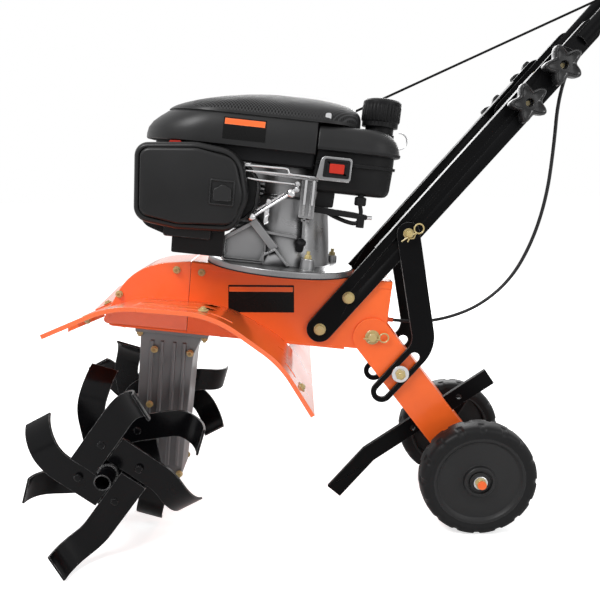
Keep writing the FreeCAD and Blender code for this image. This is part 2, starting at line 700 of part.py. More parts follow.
def starter_pulley():
    """Recoil pulley that the starter rope winds on, above the flywheel."""
    wheel = Body("starter_pulley", chassis(dim("crank_axis_x")))
    level = dim("crankcase_top") + 60
    profile = [(6, level), (46, level), (46, level + 2), (40, level + 3), (40, level + 9),
               (46, level + 10), (46, level + 12), (6, level + 12)]
    wheel.revolve(wheel.sketch("XZ_Plane", [profile]))
    wheel.done()


def rounded(x_low, x_high, half, corner):
    """Rounded rectangle symmetric about the machine's middle."""
    return [(x_low, -half, corner), (x_high, -half, corner), (x_high, half, corner), (x_low, half, corner)]


SHROUD_SKIRT = [(183, -280, 4, 124, 104), (214, -272, 4, 124, 104), (243, -256, 4, 117, 92)]
SHROUD_DOME = [(241, -257, 66, 115, 84), (266, -219, 64, 90, 56), (283, -173, 44, 64, 44), (298, -104, 8, 30, 26)]


def tapered(levels, inset, rear_corners=True):
    """Loft through rounded levels (z, x low, x high, half width, corner), each shrunk by inset."""
    wires = []
    for level, low, high, half, corner in levels:
        rear = corner if rear_corners else 0
        outline = [(low + inset, inset - half, corner), (high - inset, inset - half, rear),
                   (high - inset, half - inset, rear), (low + inset, half - inset, corner)]
        wires.append(wire_of(outline, Placement(Vector(0, 0, level - inset * 0.8), Rotation())))
    return Part.makeLoft(wires, True, True)


def shroud():
    """Blower shroud: skirt over the cylinder and a domed grille top, open below and towards the tank."""
    gauge = dim("shroud_gauge")
    outer = tapered(SHROUD_SKIRT, 0, rear_corners=False).fuse(tapered(SHROUD_DOME, 0)).removeSplitter()
    hollow = tapered(SHROUD_SKIRT, gauge, rear_corners=False).fuse(tapered(SHROUD_DOME, gauge))
    passage = prism(rounded(-30, 60, 114, 0), 70, Placement(Vector(0, 0, 175), Rotation()))
    floor = prism(rounded(-270, 10, 114, 96), 10, Placement(Vector(0, 0, 178), Rotation()))
    shell = outer.cut(hollow).cut(passage).cut(floor)
    post = disc(5.9, 62, (dim("crank_axis_x"), 0, dim("crankcase_top") + 58)).common(outer)
    exit_x, exit_z = to_chassis(ROPE_START[0], ROPE_START[2])
    slope = math.radians(ROPE_SLOPE + dim("deck_tilt"))
    exit_hole = disc(dim("rope_radius") + 0.1, 80, (exit_x - 40 * math.cos(slope), ROPE_START[1],
                                                    exit_z - 40 * math.sin(slope)),
                     (math.cos(slope), 0, math.sin(slope)))
    feature("shroud", shell.fuse(post).cut(exit_hole), chassis())


def fuel_tank():
    """Moulded tank that wraps round the back of the crankcase, with its seam and filler neck."""
    def level(rear, half, corner, low, high):
        plan = [(5, -half, 4), (rear, -half, corner), (rear, half, corner), (5, half, 4)]
        return prism(plan, high - low, Placement(Vector(0, 0, low), Rotation()))
    tank = level(137, 110, 44, 124, 187)
    tank = tank.fuse(level(142, 115.8, 48, 185, 190))
    tank = tank.fuse(level(138, 112, 45, 189, 199))
    tank = tank.fuse(level(140, 121, 50, 198.5, 241))
    tank = tank.cut(disc(94, 140, (dim("crank_axis_x"), 0, 120)))
    neck = disc(24, 25, (dim("tank_neck_x"), TANK_NECK_Y, 240))
    feature("fuel_tank", tank.fuse(neck).removeSplitter(), chassis())


TANK_NECK_Y = -24


def fuel_cap():
    """Ribbed filler cap."""
    cap = Body("fuel_cap", chassis(dim("tank_neck_x"), TANK_NECK_Y, 262))
    outer = dim("cap_radius")
    profile = [(0, 3.5), (24.3, 3.5), (24.3, -6), (outer - 2, -6), (outer - 2, 32), (outer - 9, 38), (0, 40)]
    cap.revolve(cap.sketch("XZ_Plane", [profile]))
    rib = cap.sketch("XY_Plane", circles=[(outer - 2.2, 0, "2.2")])
    ribs = cap.pad(rib, "30")
    cap.polar([ribs], 20)
    cap.done()


def fuel_valve():
    """Fuel tap under the tank on a black arm from the crankcase."""
    arm = prism([(14, -106, 4), (100, -106, 4), (100, -94, 4), (14, -94, 4)], 7,
                Placement(Vector(0, 0, 104), Rotation()))
    tap = disc(5, 14, (88, -100, 110)).fuse(disc(9, 6, (88, -100, 118)))
    feature("fuel_valve", arm.fuse(tap).removeSplitter(), chassis())


FILTER_HINGE = (-270.6, -105.2)
FILTER_LINE = [(-267, 184, 20), (-165, 198, 60), (-107, 172, 34), (-101, 92, 26), (-128, 62, 34),
               (-218, 46, 36), (-267, 62, 26)]
ABOVE_SKIRT = [(-280, 182), (-90, 182), (-90, 210), (-280, 210)]


def air_filter():
    """Air cleaner on the carburettor: base, pleated element and hinged cover."""
    base = Body("air_filter_base", chassis())
    base.pad(base.sketch("XZ_Plane", [FILTER_LINE], offset="98"), "7")
    shelf = base.sketch("XZ_Plane", [[(-214, 20, 3), (-130, 20, 3), (-130, 62), (-214, 62)]], offset="92")
    base.pad(shelf, "10")
    base.pocket(base.sketch("XZ_Plane", [ABOVE_SKIRT], offset="100"), "20")
    hinge_x, hinge_y = FILTER_HINGE
    ear = [(-262, -105), (-262, -99), (hinge_x - 3, -99, 2.9), (hinge_x - 3, hinge_y - 3, 2.9),
           (hinge_x + 3.2, hinge_y - 3, 2.9), (hinge_x + 3.2, -105)]
    for level in (100, 136):
        base.pad(base.sketch("XY_Plane", [ear], offset=f"{level}"), "4")
    base.pad(base.sketch("XY_Plane", circles=[(*FILTER_HINGE, "1.5")], offset="101"), "38")
    base.done()
    element = side_plate("air_filter_element", [(-240, 80, 8), (-125, 80, 8), (-125, 160, 8), (-240, 160, 8)],
                         "-118", "20", chassis())
    element.done()
    cover = Body("air_filter_cover", chassis())
    cover.pad(cover.sketch("XZ_Plane", [FILTER_LINE], offset="105.3"), "43")
    panel = [(-256, 166, 14), (-168, 178, 50), (-128, 158, 20), (-125, 90, 16), (-150, 66, 20), (-214, 52, 24),
             (-256, 70, 16)]
    cover.pad(cover.sketch("XZ_Plane", [panel], offset="148"), "7")
    cover.pocket(cover.sketch("XZ_Plane", [ABOVE_SKIRT], offset="104"), "21", symmetric=False, reverse=True)
    hollow = [(-262, 170, 14), (-162, 178, 62), (-108, 164, 24), (-105, 94, 20), (-132, 63, 30),
              (-213, 45, 30), (-262, 66, 18)]
    cover.pocket(cover.sketch("XZ_Plane", [hollow], offset="104"), "40", symmetric=False, reverse=True)
    knuckle = [(hinge_x - 3, -110), (-263.5, -110), (-263.5, -105.8), (hinge_x + 3, -105.8),
               (hinge_x + 3, hinge_y + 3, 2.9), (hinge_x - 3, hinge_y + 3, 2.9)]
    cover.pad(cover.sketch("XY_Plane", [knuckle], [(*FILTER_HINGE, "1.55")], offset="104.5"), "31")
    cover.done()


def carburettor():
    """Carburettor with its float bowl, between the cylinder and the air cleaner."""
    barrel = disc(17, 53, (-150, -44.2, 128), Vector(0, -1, 0))
    bowl = disc(19, 30, (-150, -72, 92)).fuse(disc(4, 6, (-150, -72, 86)))
    feature("carburettor", barrel.fuse(bowl), chassis())


def muffler():
    """Silencer drum on the side away from the air cleaner."""
    drum = Body("muffler", chassis(-140, 44.2, 110))
    drum.pad(drum.sketch("XZ_Plane", circles=[(0, 0, "14")]), "16", reverse=True)
    can = [(-52, -34, 14), (52, -34, 14), (52, 34, 14), (-52, 34, 14)]
    drum.pad(drum.sketch("XZ_Plane", [can], offset="-15"), "52", reverse=True)
    outlet = drum.sketch("XZ_Plane", circles=[(-28, -14, "8")], offset="-66")
    drum.pad(outlet, "8", reverse=True)
    drum.done()


def controls():
    """Control bracket, engine switch and the small levers beside the air cleaner."""
    bracket = Body("control_post", chassis(), export=False)
    post = bracket.sketch("XZ_Plane", [[(-13, 98, 2), (11, 98, 2), (11, 164, 2), (-13, 164, 2)]], offset="112.2")
    bracket.pad(post, "4")
    for x in (-6, 4):
        rib = bracket.sketch("XZ_Plane", [[(x - 1.5, 102), (x + 1.5, 102), (x + 1.5, 158), (x - 1.5, 158)]],
                             offset="116")
        bracket.pad(rib, "3")
    shelf = bracket.sketch("XZ_Plane", [[(-90, 160), (12, 157), (12, 160), (-90, 163)]], offset="110.4")
    bracket.pad(shelf, "9.6")
    frame = Body("switch_bracket", chassis(), export=False)
    outline = [(8, 161, 5), (62, 161, 5), (62, 197, 5), (14, 197, 9)]
    window = [(22, 167), (56, 167), (56, 191), (22, 191)]
    frame.pad(frame.sketch("XZ_Plane", [outline, window], offset="120.4"), "4")
    back = frame.sketch("XZ_Plane", [[(-2, 160), (60, 160), (60, 163), (-2, 163)]], offset="116.4")
    frame.pad(back, "7")
    housing = Body("switch_housing", chassis(), export=False)
    case = [(22.3, 167.3), (55.7, 167.3), (55.7, 190.7), (22.3, 190.7)]
    well = [(28, 171.5), (50, 171.5), (50, 186.5), (28, 186.5)]
    housing.pad(housing.sketch("XZ_Plane", [case, well], offset="117.6"), "5")
    housing.pad(housing.sketch("XZ_Plane", [case], offset="116.2"), "1.4")
    group("control_bracket", [bracket.done(), frame.done(), housing.done()])
    rocker = Body("switch_rocker", chassis(39, -121.5, 179))
    face = [(-10, 2), (10, 2), (10, -1.5), (0, -3.5), (-10, -1.5)]
    rocker.pad(rocker.sketch("XY_Plane", [face]), "13", symmetric=True)
    rocker.pad(rocker.sketch("XY_Plane", circles=[(0, 0, "1.5")]), "14.6", symmetric=True)
    rocker.done()
    low = Vector(-87, 0, 84)
    high = Vector(-27, 0, 135)
    lever = disc(3, (high - low).Length, (low.x, -119.5, low.z), tuple(high - low))
    lever = lever.fuse(disc(5.5, 6, (low.x, -116.5, low.z), (0, -1, 0)))
    lever = lever.fuse(disc(6.5, 6, (high.x, -116.5, high.z), (0, -1, 0)))
    spindle = disc(3, 50, (high.x, -70, high.z), (0, -1, 0))
    feature("throttle_lever", lever.fuse(spindle).removeSplitter(), chassis())
    choke = Body("choke_lever", chassis(-150, -74, 145.3))
    choke.pad(choke.sketch("XY_Plane", [strap([(0, 0), (38, -8)], 9)]), "4")
    choke.done()


# ---------------------------------------------------------------- handles

def strap(line, width, bend=None):
    """Rounded outline of a flat strap that follows a line of (x, y) points."""
    points = [Vector(x, y, 0) for x, y in line]
    half = width / 2
    first = (points[0] - points[1]).normalize() * half
    last = (points[-1] - points[-2]).normalize() * half
    points = [points[0] + first] + points[1:-1] + [points[-1] + last]
    heading = (points[1] - points[0]).normalize()
    shifted = []
    for index, point in enumerate(points):
        before = (point - points[index - 1]).normalize() if index else heading
        after = (points[index + 1] - point).normalize() if index + 1 < len(points) else before
        normal = (Vector(before.y, -before.x, 0) + Vector(after.y, -after.x, 0)).normalize()
        stretch = half / normal.dot(Vector(before.y, -before.x, 0))
        shifted.append(point + normal * stretch)
    radii = [half - 0.02] + [bend or 0.0] * (len(points) - 2) + [half - 0.02]
    one_side = [(p.x, p.y, r) for p, r in zip(shifted, radii)]
    return ring_with_ends(one_side, width, half - 0.02)


def ring_with_ends(line, width, end_radius):
    """Band to the left of a line whose far end corners are rounded too."""
    band = ring_of([(x, y, 0 if index in (0, len(line) - 1) else r)
                    for index, (x, y, r) in enumerate(line)], width)
    count = len(line)
    rounded_ends = {0, count - 1, count, 2 * count - 1}
    return [(p[0], p[1], end_radius) if index in rounded_ends else p for index, p in enumerate(band)]


def handle_frame(y=0.0):
    """Placement whose x runs up the lower handle from its bottom bolt."""
    return machine(dim("handle_x"), y, dim("handle_z"), -dim("handle_angle"))


KNOBS_AT = {"lower": 503.0, "upper": 579.0}


def lower_handle(side):
    """Steel bar with inward lips, bolted flat against the belt housing."""
    sign = SIDES[side]
    bar = Body(f"lower_handle_{side}", handle_frame())
    inner = dim("housing_half") + dim("lid_gauge") + 0.1
    gauge = dim("handle_gauge")
    level = inner + gauge / 2
    length = dim("handle_length")
    pin = link_pin_on_handle()
    holes = [(s, 0, "dimensions.big_bolt_radius + 0.05") for s in HANDLE_BOLTS_AT]
    holes += [(*pin, "6.05")]
    holes += [(s, 0, "4") for s in KNOBS_AT.values()]
    bar.pad(bar.sketch("XZ_Plane", [strap([(0, 0), (length - 20, 0)], dim("handle_width"))], holes,
                       offset=f"{-sign * level}"), "dimensions.handle_gauge", symmetric=True)
    half = dim("handle_width") / 2
    for low in (-half, half - 3):
        lip = bar.sketch("XZ_Plane", [[(170, low), (length - 60, low), (length - 60, low + 3), (170, low + 3)]],
                         offset=f"{-sign * (inner - 4)}")
        bar.pad(lip, "12", symmetric=True)
    bar.done()


def link_pin_on_handle():
    """Link pin's place in the lower handle's frame."""
    angle = math.radians(dim("handle_angle"))
    x = dim("link_x") - dim("handle_x")
    z = dim("link_z") - dim("handle_z")
    return (x * math.cos(angle) + z * math.sin(angle), -x * math.sin(angle) + z * math.cos(angle))


def star_knob(side, place):
    """Five-lobed clamping knob on a handle bolt."""
    sign = SIDES[side]
    outer = dim("housing_half") + dim("lid_gauge") + dim("handle_gauge") + 0.4
    turn = Rotation(Z_AXIS, Vector(0, sign, 0))
    at = handle_frame().multiply(Placement(Vector(KNOBS_AT[place], sign * outer, 0), turn))
    knob = Body(f"star_knob_{side}_{place}", at)
    radius = dim("knob_radius")
    outline = []
    for k in range(5):
        tip = math.radians(72 * k + 18)
        dip = math.radians(72 * k + 54)
        outline.append((radius * 1.12 * math.cos(tip - 0.15), radius * 1.12 * math.sin(tip - 0.15), 5))
        outline.append((radius * 1.12 * math.cos(tip + 0.15), radius * 1.12 * math.sin(tip + 0.15), 5))
        outline.append((radius * 0.55 * math.cos(dip), radius * 0.55 * math.sin(dip), 12))
    knob.pad(knob.sketch("XY_Plane", circles=[(0, 0, "15")]), "9")
    knob.pad(knob.sketch("XY_Plane", [outline], offset="8"), "dimensions.knob_height")
    knob.pocket(knob.sketch("XY_Plane", circles=[(0, 0, "4.05")]), "80")
    knob.pocket(knob.sketch("XY_Plane", circles=[(0, 0, "7")], offset="40"), "30", symmetric=True)
    knob.done()


def handle_bolts():
    """Flange bolts that hold the lower handles to the housing, and carriage bolts under the star knobs."""
    bolts = []
    face = dim("housing_half") + dim("lid_gauge") + dim("handle_gauge") + 0.1
    for sign in SIDES.values():
        for s in HANDLE_BOLTS_AT:
            bolt = hex_bolt(dim("big_bolt_radius"), dim("big_head_radius"), dim("big_head_height"), face - 46.5)
            bolt.Placement = Placement(Vector(s, sign * face, 0), toward(-sign))
            bolts.append(bolt)
        for s in KNOBS_AT.values():
            shank = disc(3.95, 35, (s, sign * 36, 0), (0, sign, 0))
            bolts.append(shank.fuse(disc(9, 3, (s, sign * 37, 0), (0, -sign, 0))))
    feature("handle_bolts", Part.makeCompound(bolts), handle_frame())


def pipe(route, radius, bend):
    """Round bar along a route of straight runs and tangent arcs of one bend radius."""
    points = [Vector(*point) for point in route]
    edges = []
    here = points[0]
    for index in range(1, len(points) - 1):
        corner = points[index]
        before = (points[index - 1] - corner).normalize()
        after = (points[index + 1] - corner).normalize()
        half = before.getAngle(after) / 2
        size = bend[index - 1] if isinstance(bend, list) else bend
        start = corner + before * (size / math.tan(half))
        stop = corner + after * (size / math.tan(half))
        centre = corner + (before + after).normalize() * (size / math.sin(half))
        middle = centre + (corner - centre).normalize() * size
        edges.append(Part.LineSegment(here, start).toShape())
        edges.append(Part.Arc(start, middle, stop).toShape())
        here = stop
    edges.append(Part.LineSegment(here, points[-1]).toShape())
    path = Part.Wire(edges)
    section = Part.Wire([Part.makeCircle(radius, points[0], points[1] - points[0])])
    return path.makePipeShell([section], True, True), path.Length


UPPER_ROUTE = [(415, 46, 789), (548, 46, 941), (650, 150, 990), (735, 205, 1000), (880, 222, 1003)]
TUBE_BEND = 60.0
GRIP_LENGTH = 115.0
CROSS_BAR = (545.0, 946.0)
LEVER_PIVOT = (728.0, -201.0, 970.0)
LEVER_TIP = (862.0, -219.0, 945.0)
CABLE_STOP_X = 700.0


def handle_tube(sign):
    """One bent tube of the upper handle with its lower end flattened for the two knob bolts."""
    frame = machine().inverse().multiply(handle_frame())
    route = [Vector(x, sign * y, z) for x, y, z in UPPER_ROUTE]
    route[0] = route[0] + (route[1] - route[0]).normalize() * 58
    tube, _ = pipe(route, dim("tube_radius"), TUBE_BEND)
    bore, _ = pipe(route, dim("tube_radius") - dim("tube_wall"), TUBE_BEND)
    flat = prism(strap([(KNOBS_AT["lower"], 0), (655, 0)], 34), 8)
    flat.Placement = frame.multiply(Placement(Vector(0, sign * 46 + 4, 0), Rotation(Vector(1, 0, 0), 90)))
    side_shape = tube.cut(bore).fuse(flat)
    for s in KNOBS_AT.values():
        hole = frame.multVec(Vector(s, sign * 60, 0))
        side_shape = side_shape.cut(disc(4.0, 40, tuple(hole), (0, -sign, 0)))
    return side_shape


def lever_clamp():
    """Two ears on the left tube that hold the lever's pin, and the stop for the cable's sheath."""
    x, y, z = LEVER_PIVOT
    ears = None
    for level in (y - 12, y + 8):
        outline = [(CABLE_STOP_X, z - 26), (CABLE_STOP_X + 4, z - 26), (CABLE_STOP_X + 8, z - 9), (x + 9, z - 9, 6),
                   (x + 9, z + 28), (CABLE_STOP_X + 4, z + 28), (CABLE_STOP_X, z + 10)]
        ear = prism(outline, 4, Placement(Vector(0, level + 4, 0), Rotation(Vector(1, 0, 0), 90)))
        ears = ear if ears is None else ears.fuse(ear)
    stop = prism([(-26, y - 12), (10, y - 12), (10, y + 12), (-26, y + 12)], 4,
                 Placement(Vector(CABLE_STOP_X + 4, 0, z), Rotation(Y_AXIS, -90)))
    return ears.fuse(stop).fuse(disc(3, 28, (x, y - 14, z), (0, 1, 0)))


def upper_handle():
    """Two bent tubes joined by a cross bar, with the rope's eye and the clutch lever's ears."""
    x, z = CROSS_BAR
    shape = disc(8, 84, (x, -42, z), (0, 1, 0))
    eye_at = rope_point(ROPE_LENGTH)
    heading = Vector(*rope_point(1)) - Vector(*rope_point(0))
    shape = shape.fuse(ring(9, dim("rope_radius") + 0.5, 5, eye_at, tuple(heading)))
    for sign in SIDES.values():
        shape = shape.fuse(handle_tube(sign))
    left = [Vector(px, -py, pz) for px, py, pz in UPPER_ROUTE]
    bore, _ = pipe(left, dim("tube_radius") - dim("tube_wall"), TUBE_BEND)
    shape = shape.fuse(lever_clamp().cut(bore))
    feature("upper_handle", shape.removeSplitter(), machine())


def grips():
    """Rubber grips over the ends of the handle tubes."""
    sleeves = []
    for sign in SIDES.values():
        near, far = (Vector(x, sign * y, z) for x, y, z in UPPER_ROUTE[-2:])
        along = (far - near).normalize()
        start = tuple(far - along * GRIP_LENGTH)
        sleeve = disc(dim("grip_radius"), GRIP_LENGTH + 5, start, tuple(along))
        sleeve = sleeve.fuse(disc(dim("grip_radius") + 3, 5, start, tuple(along)))
        sleeves.append(sleeve.cut(disc(dim("tube_radius"), GRIP_LENGTH, start, tuple(along))))
    feature("grips", Part.makeCompound(sleeves), machine())


def clutch_lever():
    """Squeeze lever under the left grip with a horn that pulls the cable's wire."""
    x, y, z = LEVER_PIVOT
    along = Vector(*LEVER_TIP) - Vector(*LEVER_PIVOT)
    lever = disc(5, along.Length, LEVER_PIVOT, tuple(along))
    lever = lever.fuse(disc(7.5, 14, (x, y - 7, z), (0, 1, 0)))
    lever = lever.fuse(disc(3, 24, (x, y, z), (-4, 0, -22)))
    lever = lever.cut(disc(3.05, 40, (x, y - 20, z), (0, 1, 0)))
    feature("clutch_lever", lever.removeSplitter(), machine())


# ---------------------------------------------------------------- cords

ROPE_SLOPE = 24.0
ROPE_START = (82.9, 14, 723.0)
ROPE_LENGTH = 509.0


def rope_point(distance):
    """Point of the taut rope at a distance from the engine."""
    angle = math.radians(ROPE_SLOPE)
    return (ROPE_START[0] + distance * math.cos(angle), ROPE_START[1],
            ROPE_START[2] + distance * math.sin(angle))


def starter_rope():
    """Taut rope from inside the shroud through the eye, and its pull handle."""
    heading = Vector(*rope_point(1)) - Vector(*rope_point(0))
    rope = disc(dim("rope_radius"), ROPE_LENGTH + 13, rope_point(-8), tuple(heading))
    feature("starter_rope", rope, machine())
    start = Vector(*rope_point(ROPE_LENGTH + 5.3))
    up = Vector(-heading.z, 0, heading.x)
    handle = disc(10, 84, tuple(start + heading * 20 - up * 42), tuple(up))
    handle = handle.fuse(disc(7, 16, tuple(start), tuple(heading)))
    feature("starter_grip", handle, machine())


CABLE_ROUTE = [(169.3, -18, 362.9), (207, -20, 359), (262, -24, 366), (322, -28, 391), (374, -32, 440),
               (406, -34, 508), (424, -35, 585), (429, -35, 668), (430, -34, 745), (448, -28, 806),
               (500, -26, 862), (562, -60, 902), (622, -122, 932), (664, -172, 944), (699.9, -200, 948)]


def cable_bends(route):
    """Radius of each turn: 0.45 of its shorter run, divided by the tangent of half the turn."""
    radii = []
    points = [Vector(*point) for point in route]
    for before, corner, after in zip(points, points[1:], points[2:]):
        first = corner - before
        second = after - corner
        turn = first.getAngle(second)
        radii.append(0.45 * min(first.Length, second.Length) / math.tan(turn / 2))
    return radii


def clutch_cable():
    """Sheathed clutch cable from the belt housing up to the clutch lever."""
    radii = cable_bends(CABLE_ROUTE)
    print("clutch cable radii", [round(radius, 1) for radius in radii])
    tube, length = pipe(CABLE_ROUTE, dim("cable_radius"), radii)
    area = math.pi * dim("cable_radius") ** 2
    print(f"clutch cable length {length:.1f}, volume ratio {tube.Volume / (area * length):.4f}")
    feature("clutch_cable", tube, machine())


# ---------------------------------------------------------------- wheel arm, links, wheels, stake

def arm_frame():
    """Placement at the arm's pivot, x along the arm to the axle, z towards its web."""
    return machine(dim("pivot_x"), 0, dim("pivot_z"), arm_angle())


def arm_angle():
    """Downward angle of the arm in degrees."""
    return math.degrees(math.atan2(dim("pivot_z") - dim("axle_z"), dim("axle_x") - dim("pivot_x")))


def arm_length():
    """Distance from the pivot to the axle."""
    return math.hypot(dim("axle_x") - dim("pivot_x"), dim("pivot_z") - dim("axle_z"))


def on_arm(x, z):
    """Arm coordinates of a point of the upright side view."""
    angle = math.radians(arm_angle())
    across = x - dim("pivot_x")
    up = z - dim("pivot_z")
    return (across * math.cos(angle) - up * math.sin(angle), across * math.sin(angle) + up * math.cos(angle))


def wheel_arm():
    """Folded channel: two ears on the pivot, a web along their rear edge, the axle at the end."""
    arm = Body("wheel_arm", arm_frame())
    length = arm_length()
    half = dim("arm_width") / 2
    inner = dim("arm_gap")
    outer = inner + dim("arm_gauge")
    bolt = on_arm(dim("slot_bolt_x"), dim("slot_bolt_z"))
    holes = [(0, 0, "dimensions.pivot_pin_radius + 0.1"), (length, 0, "dimensions.axle_radius"),
             (*bolt, "dimensions.slot_bolt_radius")]
    arm.pad(arm.sketch("XZ_Plane", [strap([(0, 0), (length, 0)], 2 * half)], holes), f"{2 * outer}",
            symmetric=True)
    room = [(-half - 5, -half - 5), (46, -half - 5), (length + half + 5, -half - 5),
            (length + half + 5, half - dim("arm_gauge")), (46, half - dim("arm_gauge")), (46, half + 5),
            (-half - 5, half + 5)]
    arm.pocket(arm.sketch("XZ_Plane", [room]), f"{2 * inner}")
    stake_x = on_arm(254, 175.8)[0]
    slot = arm.sketch("XY_Plane", [[(stake_x - 20, -10), (stake_x + 20, -10), (stake_x + 20, 10),
                                    (stake_x - 20, 10)]])
    arm.pocket(slot, "200")
    arm.done()


def cross_pin(at, radius, half, collars):
    """Plain pin across the machine with collars (level, radius, thickness) on both sides."""
    x, z = at
    shape = disc(radius, 2 * half, (x, -half, z), (0, 1, 0))
    for level, size, thick in collars:
        for sign in SIDES.values():
            shape = shape.fuse(disc(size, thick, (x, sign * level, z), (0, sign, 0)))
    return shape.removeSplitter()


def hairpin(x, y, z, turn):
    """Spring hairpin through a pin's end: a ring with a straight leg, seen from the side."""
    pin = ring(9.3, 6.7, 2.6, (0, -1.3, 0), Y_AXIS).fuse(disc(1.3, 30, (-8, 0, 0), (-1, 0, 0)))
    pin.Placement = Placement(Vector(x, y, z), Rotation(Y_AXIS, turn))
    return pin


def arm_pins():
    """Pins of the arm and of the links with their washers and hairpins."""
    ear = dim("arm_gap") + dim("arm_gauge") + 0.1
    link = dim("link_inner") + dim("link_gauge") + 0.1
    pivot = cross_pin((dim("pivot_x"), dim("pivot_z")), dim("pivot_pin_radius"), 62, [(ear, 13, 2)])
    top = cross_pin((dim("link_x"), dim("link_z")), 6, 74, [(link, 9, 2)])
    pins = [pivot, top]
    pins.append(hairpin(dim("pivot_x") + 20, -59.6, dim("pivot_z"), 0))
    pins.append(hairpin(dim("link_x") + 16, -70, dim("link_z") + 9, -35))
    feature("arm_pins", Part.makeCompound(pins), machine())


LINK_BEND = (220.0, 326.0)
LINK_SLOT = ((146.7, 241.0), (202.2, 304.0))


def height_links():
    """Two bent adjusting straps with the long slot that the arm's bolt slides in."""
    level = dim("link_inner") + dim("link_gauge") / 2
    top = (dim("link_x"), dim("link_z"))
    straps = []
    for side, sign in SIDES.items():
        strip = Body(f"link_{side}", machine(), export=False)
        outline = strap([top, LINK_BEND, LINK_SLOT[0]], 39, 30)
        strip.pad(strip.sketch("XZ_Plane", [outline, strap(LINK_SLOT, 20)], [(*top, "6.05")],
                               offset=f"{-sign * level}"), "dimensions.link_gauge", symmetric=True)
        straps.append(strip.done())
    group("height_links", straps)


def wheel(side):
    """Solid tyre with chunky tread on a dished plastic rim."""
    sign = SIDES[side]
    at = machine(dim("axle_x"), sign * dim("wheel_track"), dim("axle_z"))
    radius = dim("wheel_radius")
    half = dim("wheel_width") / 2
    tyre = Body(f"tyre_{side}", at, export=False)
    profile = [(79, -half + 3), (88, -half), (96, -half + 3), (radius, -half + 10), (radius, half - 10),
               (96, half - 3), (88, half), (79, half - 3)]
    tyre.revolve(tyre.sketch("XY_Plane", [profile]))
    for shift in (-1, 1):
        groove = tyre.sketch("XZ_Plane", [[(96.5, -5), (110, -5), (110, 5), (96.5, 5)]],
                             offset=f"{shift * half}")
        cut = tyre.pocket(groove, "26")
        tyre.polar([cut], 18, "Y_Axis")
    rim = Body(f"rim_{side}", at, export=False)
    bore = dim("axle_radius") + 0.05
    profile = [(bore, -22), (28, -22), (28, -8), (70, -12), (74, -20), (79, -20), (79, 20), (74, 20), (70, 6),
               (28, 2), (28, 22), (bore, 22)]
    rim.revolve(rim.sketch("XY_Plane", [profile]))
    group(f"wheel_{side}", [tyre.done(), rim.done()])


def axle():
    """Axle through the arm with its spacers."""
    half = dim("wheel_track") + 33
    gap = dim("wheel_track") - 22.3 - dim("arm_gap") - dim("arm_gauge")
    shape = cross_pin((dim("axle_x"), dim("axle_z")), dim("axle_radius"), half,
                      [(dim("arm_gap") + dim("arm_gauge"), 12, gap)])
    feature("wheel_axle", shape, machine())


def arm_fasteners():
    """Bolt in the links' slots with its washers, and the nuts outside the wheels."""
    link = dim("link_inner") + dim("link_gauge") + 0.1
    at = (dim("slot_bolt_x"), dim("slot_bolt_z"))
    bolt = cross_pin(at, dim("slot_bolt_radius") - 0.02, 66, [(link, 15.5, 2)])
    head = 9.5
    hexagon = [(head * math.cos(k * math.pi / 3), head * math.sin(k * math.pi / 3)) for k in range(6)]
    pieces = [bolt]
    for sign in SIDES.values():
        cap = prism(hexagon, 6)
        cap.Placement = Placement(Vector(at[0], sign * (link + 1.9), at[1]), toward(sign))
        pieces[0] = pieces[0].fuse(cap)
        nut = prism([(1.26 * x, 1.26 * y) for x, y in hexagon], 8).cut(disc(dim("axle_radius"), 8))
        nut.Placement = Placement(Vector(dim("axle_x"), sign * (dim("wheel_track") + 22.5), dim("axle_z")),
                                  toward(sign))
        pieces.append(nut)
    feature("arm_fasteners", Part.makeCompound(pieces), machine())


def depth_stake():
    """Flat bar with adjusting holes, bent down to its foot, through the arm's web."""
    stake = Body("depth_stake", machine())
    line = [(357, 250), (133, 92), (66, 5.5)]
    outline = ring_of([(line[0][0] + 9.2, line[0][1] - 13.1), (line[1][0] + 11.2, line[1][1] - 11, 30),
                       (line[2][0] + 12.6, line[2][1] - 1.5)], -32)
    holes = [(301, 210, "5"), (216, 146, "5")]
    stake.pad(stake.sketch("XZ_Plane", [outline], holes), "dimensions.stake_gauge", symmetric=True)
    stake.done()


# ---------------------------------------------------------------- fasteners

SIDE_BOLTS = [(-212, -18), (-169, -18), (-309, -71)]
GEARBOX_BOLTS = [(-245, -168), (-181, -169), (-248, -273), (-185, -406)]
LEG_BOLTS = [(-273, 39), (-157, 39)]
PAN_BOLTS = [(-303, 30), (-127, 30)]
FENDER_BOLTS = [(-362, 62, -100.38, 28.96, 4), (-145, 170, -52.4, 1.1, 2), (20, 170, -164.86, -53.25, 2)]
FLANGE_BOLTS = [(-55, 114), (45, 82), (-117, 82)]


def small_bolt(at, along, length, nut=False):
    """Small flange bolt with its head's seat at a point, pointing along a direction."""
    bolt = hex_bolt(dim("small_bolt_radius"), dim("small_head_radius"), dim("small_head_height"), length, nut,
                    flange=False)
    bolt.Placement = Placement(Vector(*at), Rotation(Z_AXIS, Vector(*along)))
    return bolt


